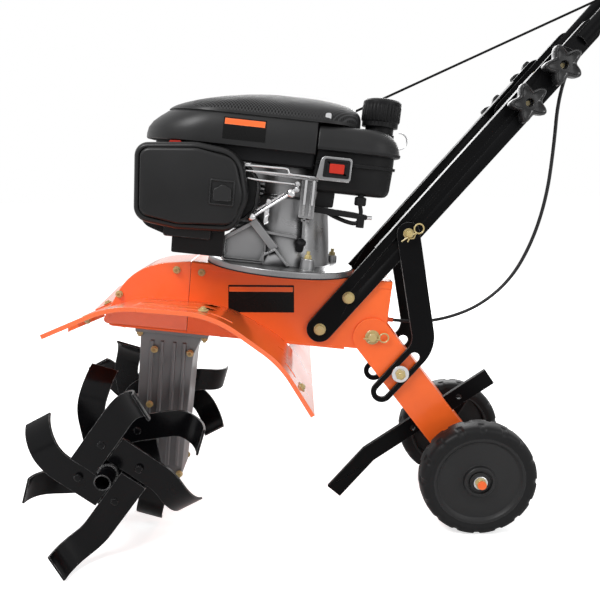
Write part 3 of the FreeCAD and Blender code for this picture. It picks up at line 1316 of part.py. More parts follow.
def chassis_bolts():
    """Bolts of the housing, pan, fenders, gearbox and engine flange, as one group."""
    bolts = []
    side = dim("housing_half") + dim("lid_gauge") + 0.1
    pan = -dim("housing_depth") - 4
    for sign in SIDES.values():
        for x, z in SIDE_BOLTS:
            bolts.append(small_bolt((x, sign * side, z), (0, -sign, 0), 9))
        for x, z in GEARBOX_BOLTS:
            bolts.append(small_bolt((x, sign * dim("gearbox_half"), z), (0, -sign, 0), 8))
        for x, y in LEG_BOLTS:
            bolts.append(small_bolt((x, sign * y, pan - 7), (0, 0, 1), 9))
        for x, y in PAN_BOLTS:
            bolts.append(small_bolt((x, sign * y, pan), (0, 0, 1), 12))
        for x, y in FLANGE_BOLTS:
            bolts.append(small_bolt((x, sign * y, dim("flange_thickness")), (0, 0, -1), 6))
        for x, y, z, slope, grip in FENDER_BOLTS:
            angle = math.radians(slope)
            bolts.append(small_bolt((x, sign * y, z), (math.sin(angle), 0, -math.cos(angle)), grip, nut=True))
    feature("chassis_bolts", Part.makeCompound(bolts), chassis())


belt_housing()
engine_plate()
nose_cover()
housing_pan()
front_bracket()
bearings()
worm_shaft()
worm_wheel()
tine_shaft()
tine_hubs()
drive_belt()
idler()
crankcase()
cylinder_head()
flywheel()
crankshaft()
starter_pulley()
shroud()
fuel_tank()
fuel_cap()
fuel_valve()
air_filter()
carburettor()
muffler()
controls()
for side in SIDES:
    fender(side)
    gearbox_half(side)
    tine_set(f"outer_tines_{side}", side, dim("outer_tines_at"), 53.7)
    tine_set(f"inner_tines_{side}", side, dim("inner_tines_at"), 8.7)
    lower_handle(side)
    wheel(side)
    for place in KNOBS_AT:
        star_knob(side, place)
handle_bolts()
upper_handle()
grips()
clutch_lever()
starter_rope()
clutch_cable()
wheel_arm()
arm_pins()
arm_fasteners()
axle()
height_links()
depth_stake()
chassis_bolts()


def write_pieces():
    """Check every object and write each piece's STEP file."""
    document.recompute()
    for item in document.Objects:
        if "Invalid" in item.State or "Error" in item.State:
            raise RuntimeError(f"{item.Label} failed: {item.State}")
    os.makedirs("parts", exist_ok=True)
    for piece in exported:
        shape = piece.Shape
        if shape.isNull() or not shape.isValid() or not shape.Solids:
            raise RuntimeError(f"{piece.Label} has no valid solid")
        shape.exportStep(f"parts/{piece.Label}.step")
    print(f"{len(exported)} pieces written")


write_pieces()
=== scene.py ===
"""Looks of a front-tine garden tiller: its finishes, moulded covers, cords and small parts.

Lengths are in metres in the row frame: +X to the rear, +Y away from the air cleaner, +Z up.
"""
import json
import logging
import math
from dataclasses import dataclass, replace
from enum import Enum
from typing import Optional, Sequence

import bmesh
import bpy
import numpy as np
from mathutils import Euler, Matrix, Vector


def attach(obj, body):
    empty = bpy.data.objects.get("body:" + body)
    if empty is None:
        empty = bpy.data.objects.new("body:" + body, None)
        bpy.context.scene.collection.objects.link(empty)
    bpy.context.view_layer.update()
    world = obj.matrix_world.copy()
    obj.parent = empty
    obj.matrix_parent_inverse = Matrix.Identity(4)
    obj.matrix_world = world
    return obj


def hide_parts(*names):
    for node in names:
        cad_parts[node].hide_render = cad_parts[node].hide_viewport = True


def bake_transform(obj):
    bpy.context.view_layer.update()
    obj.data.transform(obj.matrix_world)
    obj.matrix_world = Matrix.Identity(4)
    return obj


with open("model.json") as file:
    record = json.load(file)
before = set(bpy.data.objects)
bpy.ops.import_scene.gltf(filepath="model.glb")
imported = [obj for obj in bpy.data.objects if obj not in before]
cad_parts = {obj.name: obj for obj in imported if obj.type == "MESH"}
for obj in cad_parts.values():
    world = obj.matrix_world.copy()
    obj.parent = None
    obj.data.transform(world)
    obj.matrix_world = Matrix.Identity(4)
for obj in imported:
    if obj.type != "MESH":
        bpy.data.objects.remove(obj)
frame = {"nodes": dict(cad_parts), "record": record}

log = logging.getLogger("tiller")
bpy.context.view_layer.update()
MM = 0.001
BODY_OF = {node: body for body, nodes in frame["record"]["behaviour"]["bodies"].items() for node in nodes}
SLOT_OF = {part["node"]: part["material_slot"] for part in frame["record"]["subparts"]}


# ---- frames of reference

@dataclass(frozen=True)
class Stance:
    """How the machine stands: the same driving sizes as the frame, in millimetres and degrees.

    Attributes:
        shift: Move along x that centres the machine on the row frame's origin.
        pitch: Forward lean about the axle.
        axle_x: x of the axle.
        axle_z: Height of the axle.
        deck_height: Height of the chassis frame's origin.
        deck_tilt: Tilt of the chassis frame.
    """

    shift: float = -216.17
    pitch: float = 0.718
    axle_x: float = 311.0
    axle_z: float = 101.5
    deck_height: float = 455.5
    deck_tilt: float = 6.0

    def machine(self) -> Matrix:
        """Matrix from the upright machine's millimetres to the row frame's metres.

        Returns:
            The 4 by 4 matrix.
        """
        axle = Vector((self.axle_x, 0.0, self.axle_z))
        lean = Matrix.Rotation(math.radians(self.pitch), 4, "Y")
        move = Matrix.Translation(axle + Vector((self.shift, 0.0, 0.0)))
        return Matrix.Scale(MM, 4) @ move @ lean @ Matrix.Translation(-axle)

    def chassis(self) -> Matrix:
        """Matrix from the tilted chassis frame's millimetres to the row frame's metres."""
        tilt = Matrix.Rotation(math.radians(self.deck_tilt), 4, "Y")
        return self.machine() @ Matrix.Translation((0.0, 0.0, self.deck_height)) @ tilt


STANCE = Stance()
MACHINE = STANCE.machine()
CHASSIS = STANCE.chassis()


# ---- node helpers

class Graph:
    """Small helper that adds and links nodes in one node tree."""

    def __init__(self, tree: bpy.types.NodeTree) -> None:
        """Wrap a node tree.

        Args:
            tree: The node tree of a material, group or world.
        """
        self.tree = tree

    def add(self, kind: str, **settings: object) -> bpy.types.Node:
        """Add a node and set its properties.

        Args:
            kind: Blender's class name of the node.
            settings: Properties by name.

        Returns:
            The new node.
        """
        node = self.tree.nodes.new(kind)
        for name, value in settings.items():
            setattr(node, name, value)
        return node

    def link(self, source: bpy.types.NodeSocket, target: bpy.types.NodeSocket) -> None:
        """Link one socket to another."""
        self.tree.links.new(source, target)

    def put(self, socket: bpy.types.NodeSocket, value: object) -> None:
        """Link or set one input.

        Args:
            socket: The input.
            value: A socket to link or a constant to set.
        """
        if isinstance(value, bpy.types.NodeSocket):
            self.link(value, socket)
        else:
            socket.default_value = value

    def feed(self, node: bpy.types.Node, **values: object) -> bpy.types.Node:
        """Link or set a node's inputs by name, with underscores for spaces.

        Args:
            node: The node whose inputs are fed.
            values: A socket to link or a constant to set.

        Returns:
            The same node.
        """
        for name, value in values.items():
            self.put(node.inputs[name.replace("_", " ")], value)
        return node

    def math(self, operation: str, *values: object) -> bpy.types.NodeSocket:
        """Math node of up to three inputs.

        Args:
            operation: Blender's name of the operation.
            values: A socket or a number for each input.

        Returns:
            The result's socket.
        """
        node = self.add("ShaderNodeMath", operation=operation)
        for socket, value in zip(node.inputs, values):
            self.put(socket, value)
        return node.outputs[0]

    def mix(self, factor: object, first: object, second: object) -> bpy.types.NodeSocket:
        """Mix of two colours.

        Args:
            factor: Share of the second colour.
            first: First colour or its socket.
            second: Second colour or its socket.

        Returns:
            The mixed colour's socket.
        """
        node = self.add("ShaderNodeMix", data_type="RGBA")
        for index, value in ((0, factor), (6, first), (7, second)):
            self.put(node.inputs[index], value)
        return node.outputs[2]

    def ramp(self, value: bpy.types.NodeSocket, low: float, high: float, start: float = 0.0,
             stop: float = 1.0) -> bpy.types.NodeSocket:
        """Smooth remap of a value from one range to another, clamped.

        Args:
            value: The value's socket.
            low: Where the result is start.
            high: Where the result is stop.
            start: Result at the low end.
            stop: Result at the high end.

        Returns:
            The result's socket.
        """
        node = self.add("ShaderNodeMapRange", interpolation_type="SMOOTHSTEP")
        self.feed(node, Value=value, From_Min=low, From_Max=high, To_Min=start, To_Max=stop)
        return node.outputs["Result"]

    def noise(self, scale: object, detail: float) -> bpy.types.NodeSocket:
        """Noise value on Object coordinates, of a scale and a number of octaves."""
        node = self.add("ShaderNodeTexNoise")
        return self.feed(node, Scale=scale, Detail=detail, Vector=self.position()).outputs["Fac"]

    def position(self) -> bpy.types.NodeSocket:
        """Object coordinates."""
        return self.add("ShaderNodeTexCoord").outputs["Object"]


def rgba(colour: Sequence[float]) -> tuple[float, float, float, float]:
    """Opaque colour of four numbers from three."""
    return (colour[0], colour[1], colour[2], 1.0)


def shade(colour: Sequence[float], factor: float) -> tuple[float, float, float, float]:
    """Colour made lighter or darker by a factor, kept under 1."""
    return rgba([min(1.0, channel * factor) for channel in colour])


class SharedEffects:
    """Shader groups that several finishes use, built once."""

    def __init__(self) -> None:
        """Build the groups."""
        self.edge = self.edge_wear_and_highlight()
        self.surface = self.surface_grain()
        self.crevice = self.recess_grime_and_shade()
        self.mesh = self.pierced_mesh()

    def new_group(self, name: str, inputs: dict[str, float], outputs: Sequence[str]) -> tuple:
        """Empty group with float inputs and outputs.

        Args:
            name: The group's name.
            inputs: Input names with their default values.
            outputs: Output names.

        Returns:
            The group, its graph, its input node and its output node.
        """
        group = bpy.data.node_groups.new(name, "ShaderNodeTree")
        for title, value in inputs.items():
            socket = group.interface.new_socket(title, in_out="INPUT", socket_type="NodeSocketFloat")
            socket.default_value = value
        for title in outputs:
            group.interface.new_socket(title, in_out="OUTPUT", socket_type="NodeSocketFloat")
        graph = Graph(group)
        return group, graph, graph.add("NodeGroupInput"), graph.add("NodeGroupOutput")

    def edge_wear_and_highlight(self) -> bpy.types.NodeTree:
        """Mask, 1 on corners where a rounded normal leaves the true one: wear and a painted highlight.

        Returns:
            The group.
        """
        group, graph, given, result = self.new_group("edge_wear_and_highlight", {"Radius": 0.0015, "Amount": 1.0}, ["Mask"])
        bevel = graph.add("ShaderNodeBevel", samples=4)
        graph.link(given.outputs["Radius"], bevel.inputs["Radius"])
        geometry = graph.add("ShaderNodeNewGeometry")
        dot = graph.add("ShaderNodeVectorMath", operation="DOT_PRODUCT")
        graph.link(bevel.outputs["Normal"], dot.inputs[0])
        graph.link(geometry.outputs["Normal"], dot.inputs[1])
        bend = graph.math("SUBTRACT", 1.0, dot.outputs["Value"])
        broken = graph.ramp(graph.noise(90.0, 5.0), 0.35, 0.62)
        mask = graph.math("MULTIPLY", graph.ramp(bend, 0.03, 0.22), graph.math("ADD", 0.35, broken))
        graph.link(graph.math("MULTIPLY", mask, given.outputs["Amount"]), result.inputs["Mask"])
        return group

    def surface_grain(self) -> bpy.types.NodeTree:
        """Fine height and slow unevenness of a surface.

        Returns:
            The group.
        """
        group, graph, given, result = self.new_group("surface_grain", {"Scale": 400.0, "Cloud": 12.0},
                                                     ["Height", "Cloud"])
        graph.link(graph.noise(given.outputs["Scale"], 4.0), result.inputs["Height"])
        graph.link(graph.noise(given.outputs["Cloud"], 3.0), result.inputs["Cloud"])
        return group

    def recess_grime_and_shade(self) -> bpy.types.NodeTree:
        """Mask, 1 in corners and recesses by occlusion: painted shade, with some dirt and old coating.

        Returns:
            The group.
        """
        group, graph, given, result = self.new_group("recess_grime_and_shade", {"Reach": 0.01, "Amount": 1.0},
                                                     ["Mask"])
        shelter = graph.add("ShaderNodeAmbientOcclusion", samples=6)
        graph.link(given.outputs["Reach"], shelter.inputs["Distance"])
        covered = graph.ramp(shelter.outputs["AO"], 0.35, 0.95, 1.0, 0.0)
        uneven = graph.ramp(graph.noise(60.0, 4.0), 0.25, 0.7, 0.75, 1.0)
        mask = graph.math("MULTIPLY", covered, uneven)
        graph.link(graph.math("MULTIPLY", mask, given.outputs["Amount"]), result.inputs["Mask"])
        return group

    def pierced_mesh(self) -> bpy.types.NodeTree:
        """Mask of the rows of small slanted holes on the crown of the blower's shroud.

        The holes are where the product of two waves across the diagonals is high. They stay inside the
        crown, above one height and between two lengths of the chassis frame. The holes are painted black as
        painted shade behind them, and the crown's field lighter as a painted sheen.

        Returns:
            The group.
        """
        limits = {"Pitch": 5.2, "Low": 251.0, "Front": -196.0, "Rear": 66.0}
        group, graph, given, result = self.new_group("pierced_mesh", limits, ["Mask", "Field"])
        place, turn, scale = CHASSIS.inverted().decompose()
        mapping = graph.add("ShaderNodeMapping")
        mapping.inputs["Location"].default_value = place
        mapping.inputs["Rotation"].default_value = turn.to_euler()
        mapping.inputs["Scale"].default_value = scale
        graph.link(graph.position(), mapping.inputs["Vector"])
        split = graph.add("ShaderNodeSeparateXYZ")
        graph.link(mapping.outputs["Vector"], split.inputs[0])
        along_x, along_y, height = (split.outputs[axis] for axis in "XYZ")
        waves = []
        for sign in (-1.0, 1.0):
            diagonal = graph.math("MULTIPLY_ADD", along_y, sign, along_x)
            turned = graph.math("DIVIDE", diagonal, given.outputs["Pitch"])
            waves.append(graph.math("COSINE", graph.math("MULTIPLY", turned, math.pi)))
        holes = graph.ramp(graph.math("ABSOLUTE", graph.math("MULTIPLY", waves[0], waves[1])), 0.3, 0.44)
        inside = graph.ramp(graph.math("SUBTRACT", height, given.outputs["Low"]), 0.0, 1.5)
        for first, second in ((along_x, given.outputs["Front"]), (given.outputs["Rear"], along_x)):
            within = graph.ramp(graph.math("SUBTRACT", first, second), 0.0, 1.5)
            inside = graph.math("MULTIPLY", inside, within)
        graph.link(graph.math("MULTIPLY", holes, inside), result.inputs["Mask"])
        graph.link(inside, result.inputs["Field"])
        return group


EFFECTS = SharedEffects()


def use_group(graph: Graph, group: bpy.types.NodeTree, **values: float) -> bpy.types.Node:
    """Place a shared group in a material with its own values.

    Args:
        graph: The material's graph.
        group: The shared group.
        values: Input values by name.

    Returns:
        The group's node.
    """
    node = graph.add("ShaderNodeGroup")
    node.node_tree = group
    return graph.feed(node, **values)


# ---- finishes

CLOUD_SCALE = 14.0
# Reach and tone of the darkening in recesses: painted shade, with some dirt.
GRIME_AND_SHADE_REACH = 0.014
GRIME_AND_SHADE_TONE = 0.06
# Lift of the crown's colour over its pierced field: a painted sheen.
CROWN_SHEEN_LIFT = 2.6
# Colour of the crown's holes: painted shade behind them.
HOLE_COLOUR = (0.001, 0.001, 0.001, 1.0)
COAT_ROUGHNESS = 0.12
GRAIN_DEPTH = 0.0004


@dataclass(frozen=True)
class Finish:
    """A surface finish: colour, gloss, grain, worn edges and faces, painted edge highlights and recess shade.

    Attributes:
        name: Material name.
        colour: Base colour.
        roughness: Mean roughness.
        metallic: 1 for bare metal.
        coat: Weight of a clear coat.
        grain_scale: Scale of the fine bump.
        grain_height: Strength of the fine bump.
        cloud: How far the roughness wanders.
        edge_colour: Colour of worn corners, which also stands for a painted highlight along them.
        edge_radius: Width of those corners in metres.
        edge_amount: How much of the corners takes that colour.
        edge_metal: Metallic of worn corners.
        specular: Specular level of the shader.
        crevice: Strength of the darkening in corners and recesses: painted shade, with some dirt.
        pierced: Whether the crown's mesh is let into it, holes as painted shade, crown as painted sheen.
    """

    name: str
    colour: tuple[float, float, float]
    roughness: float = 0.4
    metallic: float = 0.0
    coat: float = 0.0
    grain_scale: float = 500.0
    grain_height: float = 0.1
    cloud: float = 0.12
    edge_colour: tuple[float, float, float] = (0.6, 0.6, 0.6)
    edge_radius: float = 0.0012
    edge_amount: float = 0.0
    edge_metal: float = 0.0
    specular: float = 0.5
    crevice: float = 0.0
    pierced: bool = False

    def build(self) -> bpy.types.Material:
        """Make the material.

        Returns:
            The material with its node tree.
        """
        material = bpy.data.materials.new(self.name)
        material.use_nodes = True
        graph = Graph(material.node_tree)
        shader = material.node_tree.nodes["Principled BSDF"]
        grain = use_group(graph, EFFECTS.surface, Scale=self.grain_scale, Cloud=CLOUD_SCALE)
        colour = graph.mix(graph.ramp(grain.outputs["Cloud"], 0.3, 0.7), shade(self.colour, 0.94),
                           shade(self.colour, 1.05))
        rough = graph.ramp(grain.outputs["Cloud"], 0.3, 0.7, self.roughness - self.cloud / 2,
                           self.roughness + self.cloud / 2)
        metal: object = self.metallic
        # Corners are painted lighter: wear, and a painted highlight along the edges.
        if self.edge_amount > 0.0:
            edge = use_group(graph, EFFECTS.edge, Radius=self.edge_radius, Amount=self.edge_amount)
            colour = graph.mix(edge.outputs["Mask"], colour, rgba(self.edge_colour))
            if self.edge_metal > self.metallic:
                metal = graph.math("MULTIPLY", edge.outputs["Mask"], self.edge_metal)
        # Occlusion darkens corners and recesses: painted shade, with some dirt.
        if self.crevice > 0.0:
            grime_and_shade = use_group(graph, EFFECTS.crevice, Reach=GRIME_AND_SHADE_REACH, Amount=self.crevice)
            colour = graph.mix(grime_and_shade.outputs["Mask"], colour, shade(self.colour, GRIME_AND_SHADE_TONE))
        height = grain.outputs["Height"]
        # The crown's field is painted lighter, a painted sheen, and its holes black, painted shade behind
        # them.
        if self.pierced:
            pierced = use_group(graph, EFFECTS.mesh)
            holes = pierced.outputs["Mask"]
            colour = graph.mix(pierced.outputs["Field"], colour, shade(self.colour, CROWN_SHEEN_LIFT))
            colour = graph.mix(holes, colour, HOLE_COLOUR)
            rough = graph.math("MULTIPLY_ADD", holes, 0.4, rough)
            height = graph.math("MULTIPLY_ADD", holes, -3.0, height)
        graph.feed(shader, Base_Color=colour, Roughness=rough, Metallic=metal)
        shader.inputs["Coat Weight"].default_value = self.coat
        shader.inputs["Coat Roughness"].default_value = COAT_ROUGHNESS
        shader.inputs["Specular IOR Level"].default_value = self.specular
        bump = graph.add("ShaderNodeBump")
        graph.feed(bump, Strength=self.grain_height, Distance=GRAIN_DEPTH, Height=height)
        graph.link(bump.outputs["Normal"], shader.inputs["Normal"])
        return material


# Edge colours stand for wear and a painted highlight; crevice sets painted shade, with some dirt, in
# recesses.
ORANGE = Finish("orange_enamel", (1.0, 0.145, 0.02), 0.36, coat=0.25, grain_scale=260.0, cloud=0.08,
                edge_colour=(1.0, 0.42, 0.2), edge_radius=0.0014, edge_amount=0.5, specular=0.35)
FENDER = replace(ORANGE, name="fender_enamel", roughness=0.3, coat=0.9, grain_height=0.08, specular=0.6)
BLACK_PAINT = Finish("black_powder_coat", (0.004, 0.004, 0.0044), 0.34, grain_scale=650.0, grain_height=0.2,
                     cloud=0.1, edge_colour=(0.4, 0.4, 0.4), edge_amount=0.5, specular=0.06)
TINE_PAINT = Finish("tine_black", (0.0025, 0.0025, 0.003), 0.22, grain_scale=300.0, grain_height=0.2,
                    edge_colour=(0.5, 0.5, 0.5), edge_radius=0.0016, edge_amount=0.7, specular=0.15)
CAST = Finish("cast_aluminium", (0.3, 0.3, 0.305), 0.34, metallic=0.9, grain_scale=330.0, grain_height=0.4,
              cloud=0.2, edge_colour=(0.9, 0.9, 0.9), edge_radius=0.0018, edge_amount=0.8, edge_metal=0.9,
              crevice=0.9)
GEAR_CAST = Finish("gearbox_grey", (0.2, 0.2, 0.205), 0.4, metallic=0.6, grain_scale=330.0, grain_height=0.35,
                   cloud=0.2, edge_colour=(0.5, 0.5, 0.5), edge_radius=0.0015, edge_amount=0.5, crevice=0.35)
BRIGHT = Finish("bright_steel", (0.68, 0.68, 0.69), 0.24, metallic=1.0, grain_scale=700.0, cloud=0.1)
ZINC = Finish("yellow_zinc", (0.52, 0.41, 0.17), 0.26, metallic=0.95, grain_height=0.15, cloud=0.16,
              edge_colour=(0.95, 0.9, 0.75), edge_radius=0.0008, edge_amount=0.5, edge_metal=1.0)
BRONZE = Finish("bronze", (0.62, 0.42, 0.16), 0.35, metallic=1.0)
MOULDED = Finish("moulded_black", (0.01, 0.01, 0.0105), 0.4, grain_scale=1500.0, grain_height=0.3, cloud=0.08,
                 edge_colour=(0.12, 0.12, 0.12), edge_radius=0.001, edge_amount=0.35, specular=0.14,
                 crevice=0.6)
SHROUD = Finish("shroud_black", (0.013, 0.013, 0.0135), 0.4, grain_scale=1300.0, grain_height=0.22,
                cloud=0.08, edge_colour=(0.12, 0.12, 0.12), edge_radius=0.0014, edge_amount=0.5,
                specular=0.25, crevice=0.8, pierced=True)
COVER = Finish("air_cleaner_black", (0.014, 0.014, 0.0145), 0.33, grain_scale=1500.0, grain_height=0.2,
               cloud=0.08, edge_colour=(0.24, 0.24, 0.24), edge_radius=0.0018, edge_amount=0.6,
               specular=0.22, crevice=0.9)
KNOB = Finish("knob_black", (0.012, 0.012, 0.0125), 0.3, grain_scale=1200.0, grain_height=0.15, cloud=0.08,
              edge_colour=(0.25, 0.25, 0.25), edge_amount=0.5, specular=0.35)
RED = Finish("switch_red", (0.5, 0.025, 0.012), 0.35, grain_height=0.05, specular=0.3)
RUBBER = Finish("rubber", (0.01, 0.01, 0.011), 0.6, grain_scale=900.0, grain_height=0.3, specular=0.15)
TYRE = Finish("wheel_rubber", (0.01, 0.01, 0.0105), 0.44, grain_scale=700.0, grain_height=0.35,
              edge_colour=(0.1, 0.1, 0.1), edge_radius=0.002, edge_amount=0.4, specular=0.16)
RIM = Finish("wheel_rim", (0.017, 0.017, 0.0175), 0.42, grain_scale=900.0, grain_height=0.25, cloud=0.1,
             edge_colour=(0.1, 0.1, 0.1), edge_amount=0.3, specular=0.25)
SHEATH = Finish("cable_sheath", (0.012, 0.012, 0.013), 0.4, grain_scale=700.0, grain_height=0.2,
                specular=0.25)
ROPE = Finish("starter_rope", (0.008, 0.008, 0.008), 0.7, grain_scale=900.0, grain_height=0.6, specular=0.1)
PLEATS = Finish("filter_foam", (0.35, 0.3, 0.2), 0.8, grain_scale=300.0, grain_height=0.8)
LABEL = Finish("label_film", (0.004, 0.004, 0.004), 0.3, grain_scale=900.0, grain_height=0.03, specular=0.14)

SLOT_FINISH = {"orange_paint": ORANGE, "black_paint": BLACK_PAINT, "cast_aluminium": CAST,
               "black_plastic": MOULDED, "red_plastic": RED, "zinc_steel": ZINC, "bright_steel": BRIGHT,
               "bronze": BRONZE, "rubber": RUBBER, "tyre": TYRE, "cord": SHEATH, "filter": PLEATS}


class Wardrobe:
    """Materials made once from their finishes."""

    def __init__(self) -> None:
        """Start empty."""
        self.made: dict[str, bpy.types.Material] = {}

    def material(self, finish: Finish) -> bpy.types.Material:
        """Material of a finish, built at its first use.

        Args:
            finish: The finish.

        Returns:
            Its material.
        """
        if finish.name not in self.made:
            self.made[finish.name] = finish.build()
        return self.made[finish.name]

    def dress(self, piece: bpy.types.Object, finish: Finish) -> None:
        """Give every slot of a piece one finish.

        Args:
            piece: The piece.
            finish: The finish.
        """
        material = self.material(finish)
        if not piece.material_slots:
            piece.data.materials.append(material)
        for slot in piece.material_slots:
            slot.material = material


WARDROBE = Wardrobe()


# ---- surfaces

@dataclass
class Patch:
    """Points and faces of one closed surface.

    Attributes:
        points: Array of (n, 3) points in millimetres.
        faces: Point numbers of each face.
    """

    points: np.ndarray
    faces: list

    def moved(self, matrix: Matrix) -> "Patch":
        """The same surface under a 4 by 4 matrix."""
        turn = np.array(matrix)
        return Patch(self.points @ turn[:3, :3].T + turn[:3, 3], self.faces)


def grid_faces(rows: int, columns: int, closed: bool) -> list:
    """Quads of a grid of points numbered row by row, each row closed on itself.

    Args:
        rows: Number of rows.
        columns: Number of points in a row.
        closed: Whether the last row joins the first.

    Returns:
        A list of four point numbers per face.
    """
    here, across = np.meshgrid(np.arange(rows if closed else rows - 1), np.arange(columns), indexing="ij")
    down = (here + 1) % rows
    right = (across + 1) % columns
    quads = np.stack([here * columns + across, here * columns + right, down * columns + right,
                      down * columns + across], axis=-1)
    return quads.reshape(-1, 4).tolist()


def skin(rings: np.ndarray, closed: bool = False, open_start: bool = False) -> Patch:
    """Surface through rings of points, each ring closed on itself, with flat caps at its ends.

    Args:
        rings: Array of (rings, points, 3).
        closed: Whether the last ring joins the first, so that there are no ends.
        open_start: Whether the first ring is left without its cap.

    Returns:
        The surface.
    """
    count, around = rings.shape[:2]
    faces = grid_faces(count, around, closed)
    if not closed and not open_start:
        faces.append(list(range(around))[::-1])
    if not closed:
        faces.append(list(range((count - 1) * around, count * around)))
    return Patch(rings.reshape(-1, 3), faces)


def full_turn(count: int) -> np.ndarray:
    """Evenly spaced angles of one turn, in radians."""
    return np.linspace(0.0, 2.0 * np.pi, count, endpoint=False)


def turned(radius: np.ndarray, turn: np.ndarray, height: np.ndarray) -> np.ndarray:
    """Points at (r cos t, r sin t, h); any of the three may be one number."""
    return np.stack(np.broadcast_arrays(radius * np.cos(turn), radius * np.sin(turn), height), axis=-1)


def lathe(profile: Sequence[tuple[float, float]], around: int = 48, closed: bool = False) -> Patch:
    """Surface of revolution about z: each (radius, height) swept as (r cos t, r sin t, h).

    Args:
        profile: Radii and heights from one end to the other.
        around: Points in a turn.
        closed: Whether the profile is a loop, as in a ring.

    Returns:
        The surface.
    """
    radius, height = np.array(profile, float).T[:, :, None]
    return skin(turned(radius, full_turn(around), height), closed=closed)


def rounded_outline(low: float, high: float, half: float, front: float, rear: float, arc: int = 12,
                    run: int = 8) -> np.ndarray:
    """Rectangle symmetric about y = 0 with quarter-circle corners.

    Each corner is centre + radius (cos t, sin t) over a quarter turn, and each side is divided evenly.

    Args:
        low: Lowest x.
        high: Highest x.
        half: Half width in y.
        front: Corner radius at the low end.
        rear: Corner radius at the high end.
        arc: Steps in a corner.
        run: Steps in a side.

    Returns:
        Array of (points, 2).
    """
    corners = [(high - rear, half - rear, rear, 0.0), (low + front, half - front, front, 90.0),
               (low + front, front - half, front, 180.0), (high - rear, rear - half, rear, 270.0)]
    arcs = []
    for x, y, radius, start in corners:
        turn = np.radians(np.linspace(start, start + 90.0, arc + 1))
        arcs.append(np.stack([x + radius * np.cos(turn), y + radius * np.sin(turn)], axis=-1))
    share = np.linspace(0.0, 1.0, run + 1)[1:-1, None]
    chain = []
    for index, points in enumerate(arcs):
        after = arcs[(index + 1) % 4]
        chain += [points, points[-1] * (1.0 - share) + after[0] * share]
    return np.concatenate(chain)


def stacked(levels: Sequence[Sequence[float]], open_start: bool = False) -> Patch:
    """Skin through rounded rectangles at rising heights.

    Args:
        levels: Rows of height, low x, high x, half width, front and rear corner radius.
        open_start: Whether the lowest level is left open.

    Returns:
        The surface.
    """
    rings = []
    for height, *sizes in levels:
        flat = rounded_outline(*sizes)
        rings.append(np.column_stack([flat, np.full(len(flat), height)]))
    return skin(np.array(rings), open_start=open_start)


def prism(outline: Sequence[Sequence[float]], low: float, high: float) -> Patch:
    """Straight solid over an outline between two heights."""
    return shell_of(np.array(outline, float), [(0.0, low), (0.0, high)])


def smooth_outline(corners: Sequence[tuple[float, float, float]], arc: int = 10) -> np.ndarray:
    """Closed outline whose corners are arcs tangent to both sides.

    A corner's centre lies on its bisector at radius / sin(half angle), and its arc runs between the feet.

    Args:
        corners: Rows of x, y and radius.
        arc: Steps in a corner.

    Returns:
        Array of (points, 2).
    """
    points = [Vector(corner[:2]) for corner in corners]
    chain = []
    for index, corner in enumerate(points):
        radius = corners[index][2]
        before = (points[index - 1] - corner).normalized()
        after = (points[(index + 1) % len(points)] - corner).normalized()
        half = before.angle(after) / 2.0
        centre = corner + (before + after).normalized() * (radius / math.sin(half))
        reach = radius / math.tan(half)
        first = corner + before * reach - centre
        last = corner + after * reach - centre
        start = math.atan2(first.y, first.x)
        sweep = (math.atan2(last.y, last.x) - start + math.pi) % (2.0 * math.pi) - math.pi
        turn = start + sweep * np.linspace(0.0, 1.0, arc + 1)
        chain.append(np.stack([centre.x + radius * np.cos(turn), centre.y + radius * np.sin(turn)], axis=-1))
    return np.concatenate(chain)


def inset(outline: np.ndarray, distance: float) -> np.ndarray:
    """Outline moved inwards along the mean normal of its neighbours.

    Args:
        outline: Array of (points, 2).
        distance: How far it moves.

    Returns:
        The moved outline.
    """
    ahead = np.roll(outline, -1, axis=0) - np.roll(outline, 1, axis=0)
    normal = np.stack([-ahead[:, 1], ahead[:, 0]], axis=-1)
    normal /= np.maximum(np.linalg.norm(normal, axis=1, keepdims=True), 1e-9)
    area = np.sum(outline[:, 0] * np.roll(outline[:, 1], -1) - np.roll(outline[:, 0], -1) * outline[:, 1])
    return outline + normal * distance * math.copysign(1.0, area)


def shell_of(outline: np.ndarray, steps: Sequence[tuple[float, float]], open_start: bool = False) -> Patch:
    """Skin over one outline: each step is how far it moves inwards and its height."""
    rings = [np.column_stack([inset(outline, move), np.full(len(outline), height)]) for move, height in steps]
    return skin(np.array(rings), open_start=open_start)


def tube(path: np.ndarray, radius: float, around: int, closed: bool = False) -> Patch:
    """Round wire along a path: circles in the plane across the heading.

    The circle's axes are the heading crossed with a fixed direction, and the heading crossed with that.

    Args:
        path: Array of (points, 3).
        radius: Wire's radius.
        around: Points in a circle.
        closed: Whether the path is a loop.

    Returns:
        The surface.
    """
    if closed:
        heading = np.roll(path, -1, axis=0) - np.roll(path, 1, axis=0)
    else:
        heading = np.gradient(path, axis=0)
    heading /= np.linalg.norm(heading, axis=1, keepdims=True)
    spread = np.abs(heading).max(axis=0)
    fixed = np.eye(3)[int(np.argmin(spread))]
    side = np.cross(heading, fixed)
    side /= np.linalg.norm(side, axis=1, keepdims=True)
    other = np.cross(heading, side)
    turn = full_turn(around)
    rings = (path[:, None, :] + radius * (np.cos(turn)[None, :, None] * side[:, None, :]
                                          + np.sin(turn)[None, :, None] * other[:, None, :]))
    return skin(rings, closed=closed)


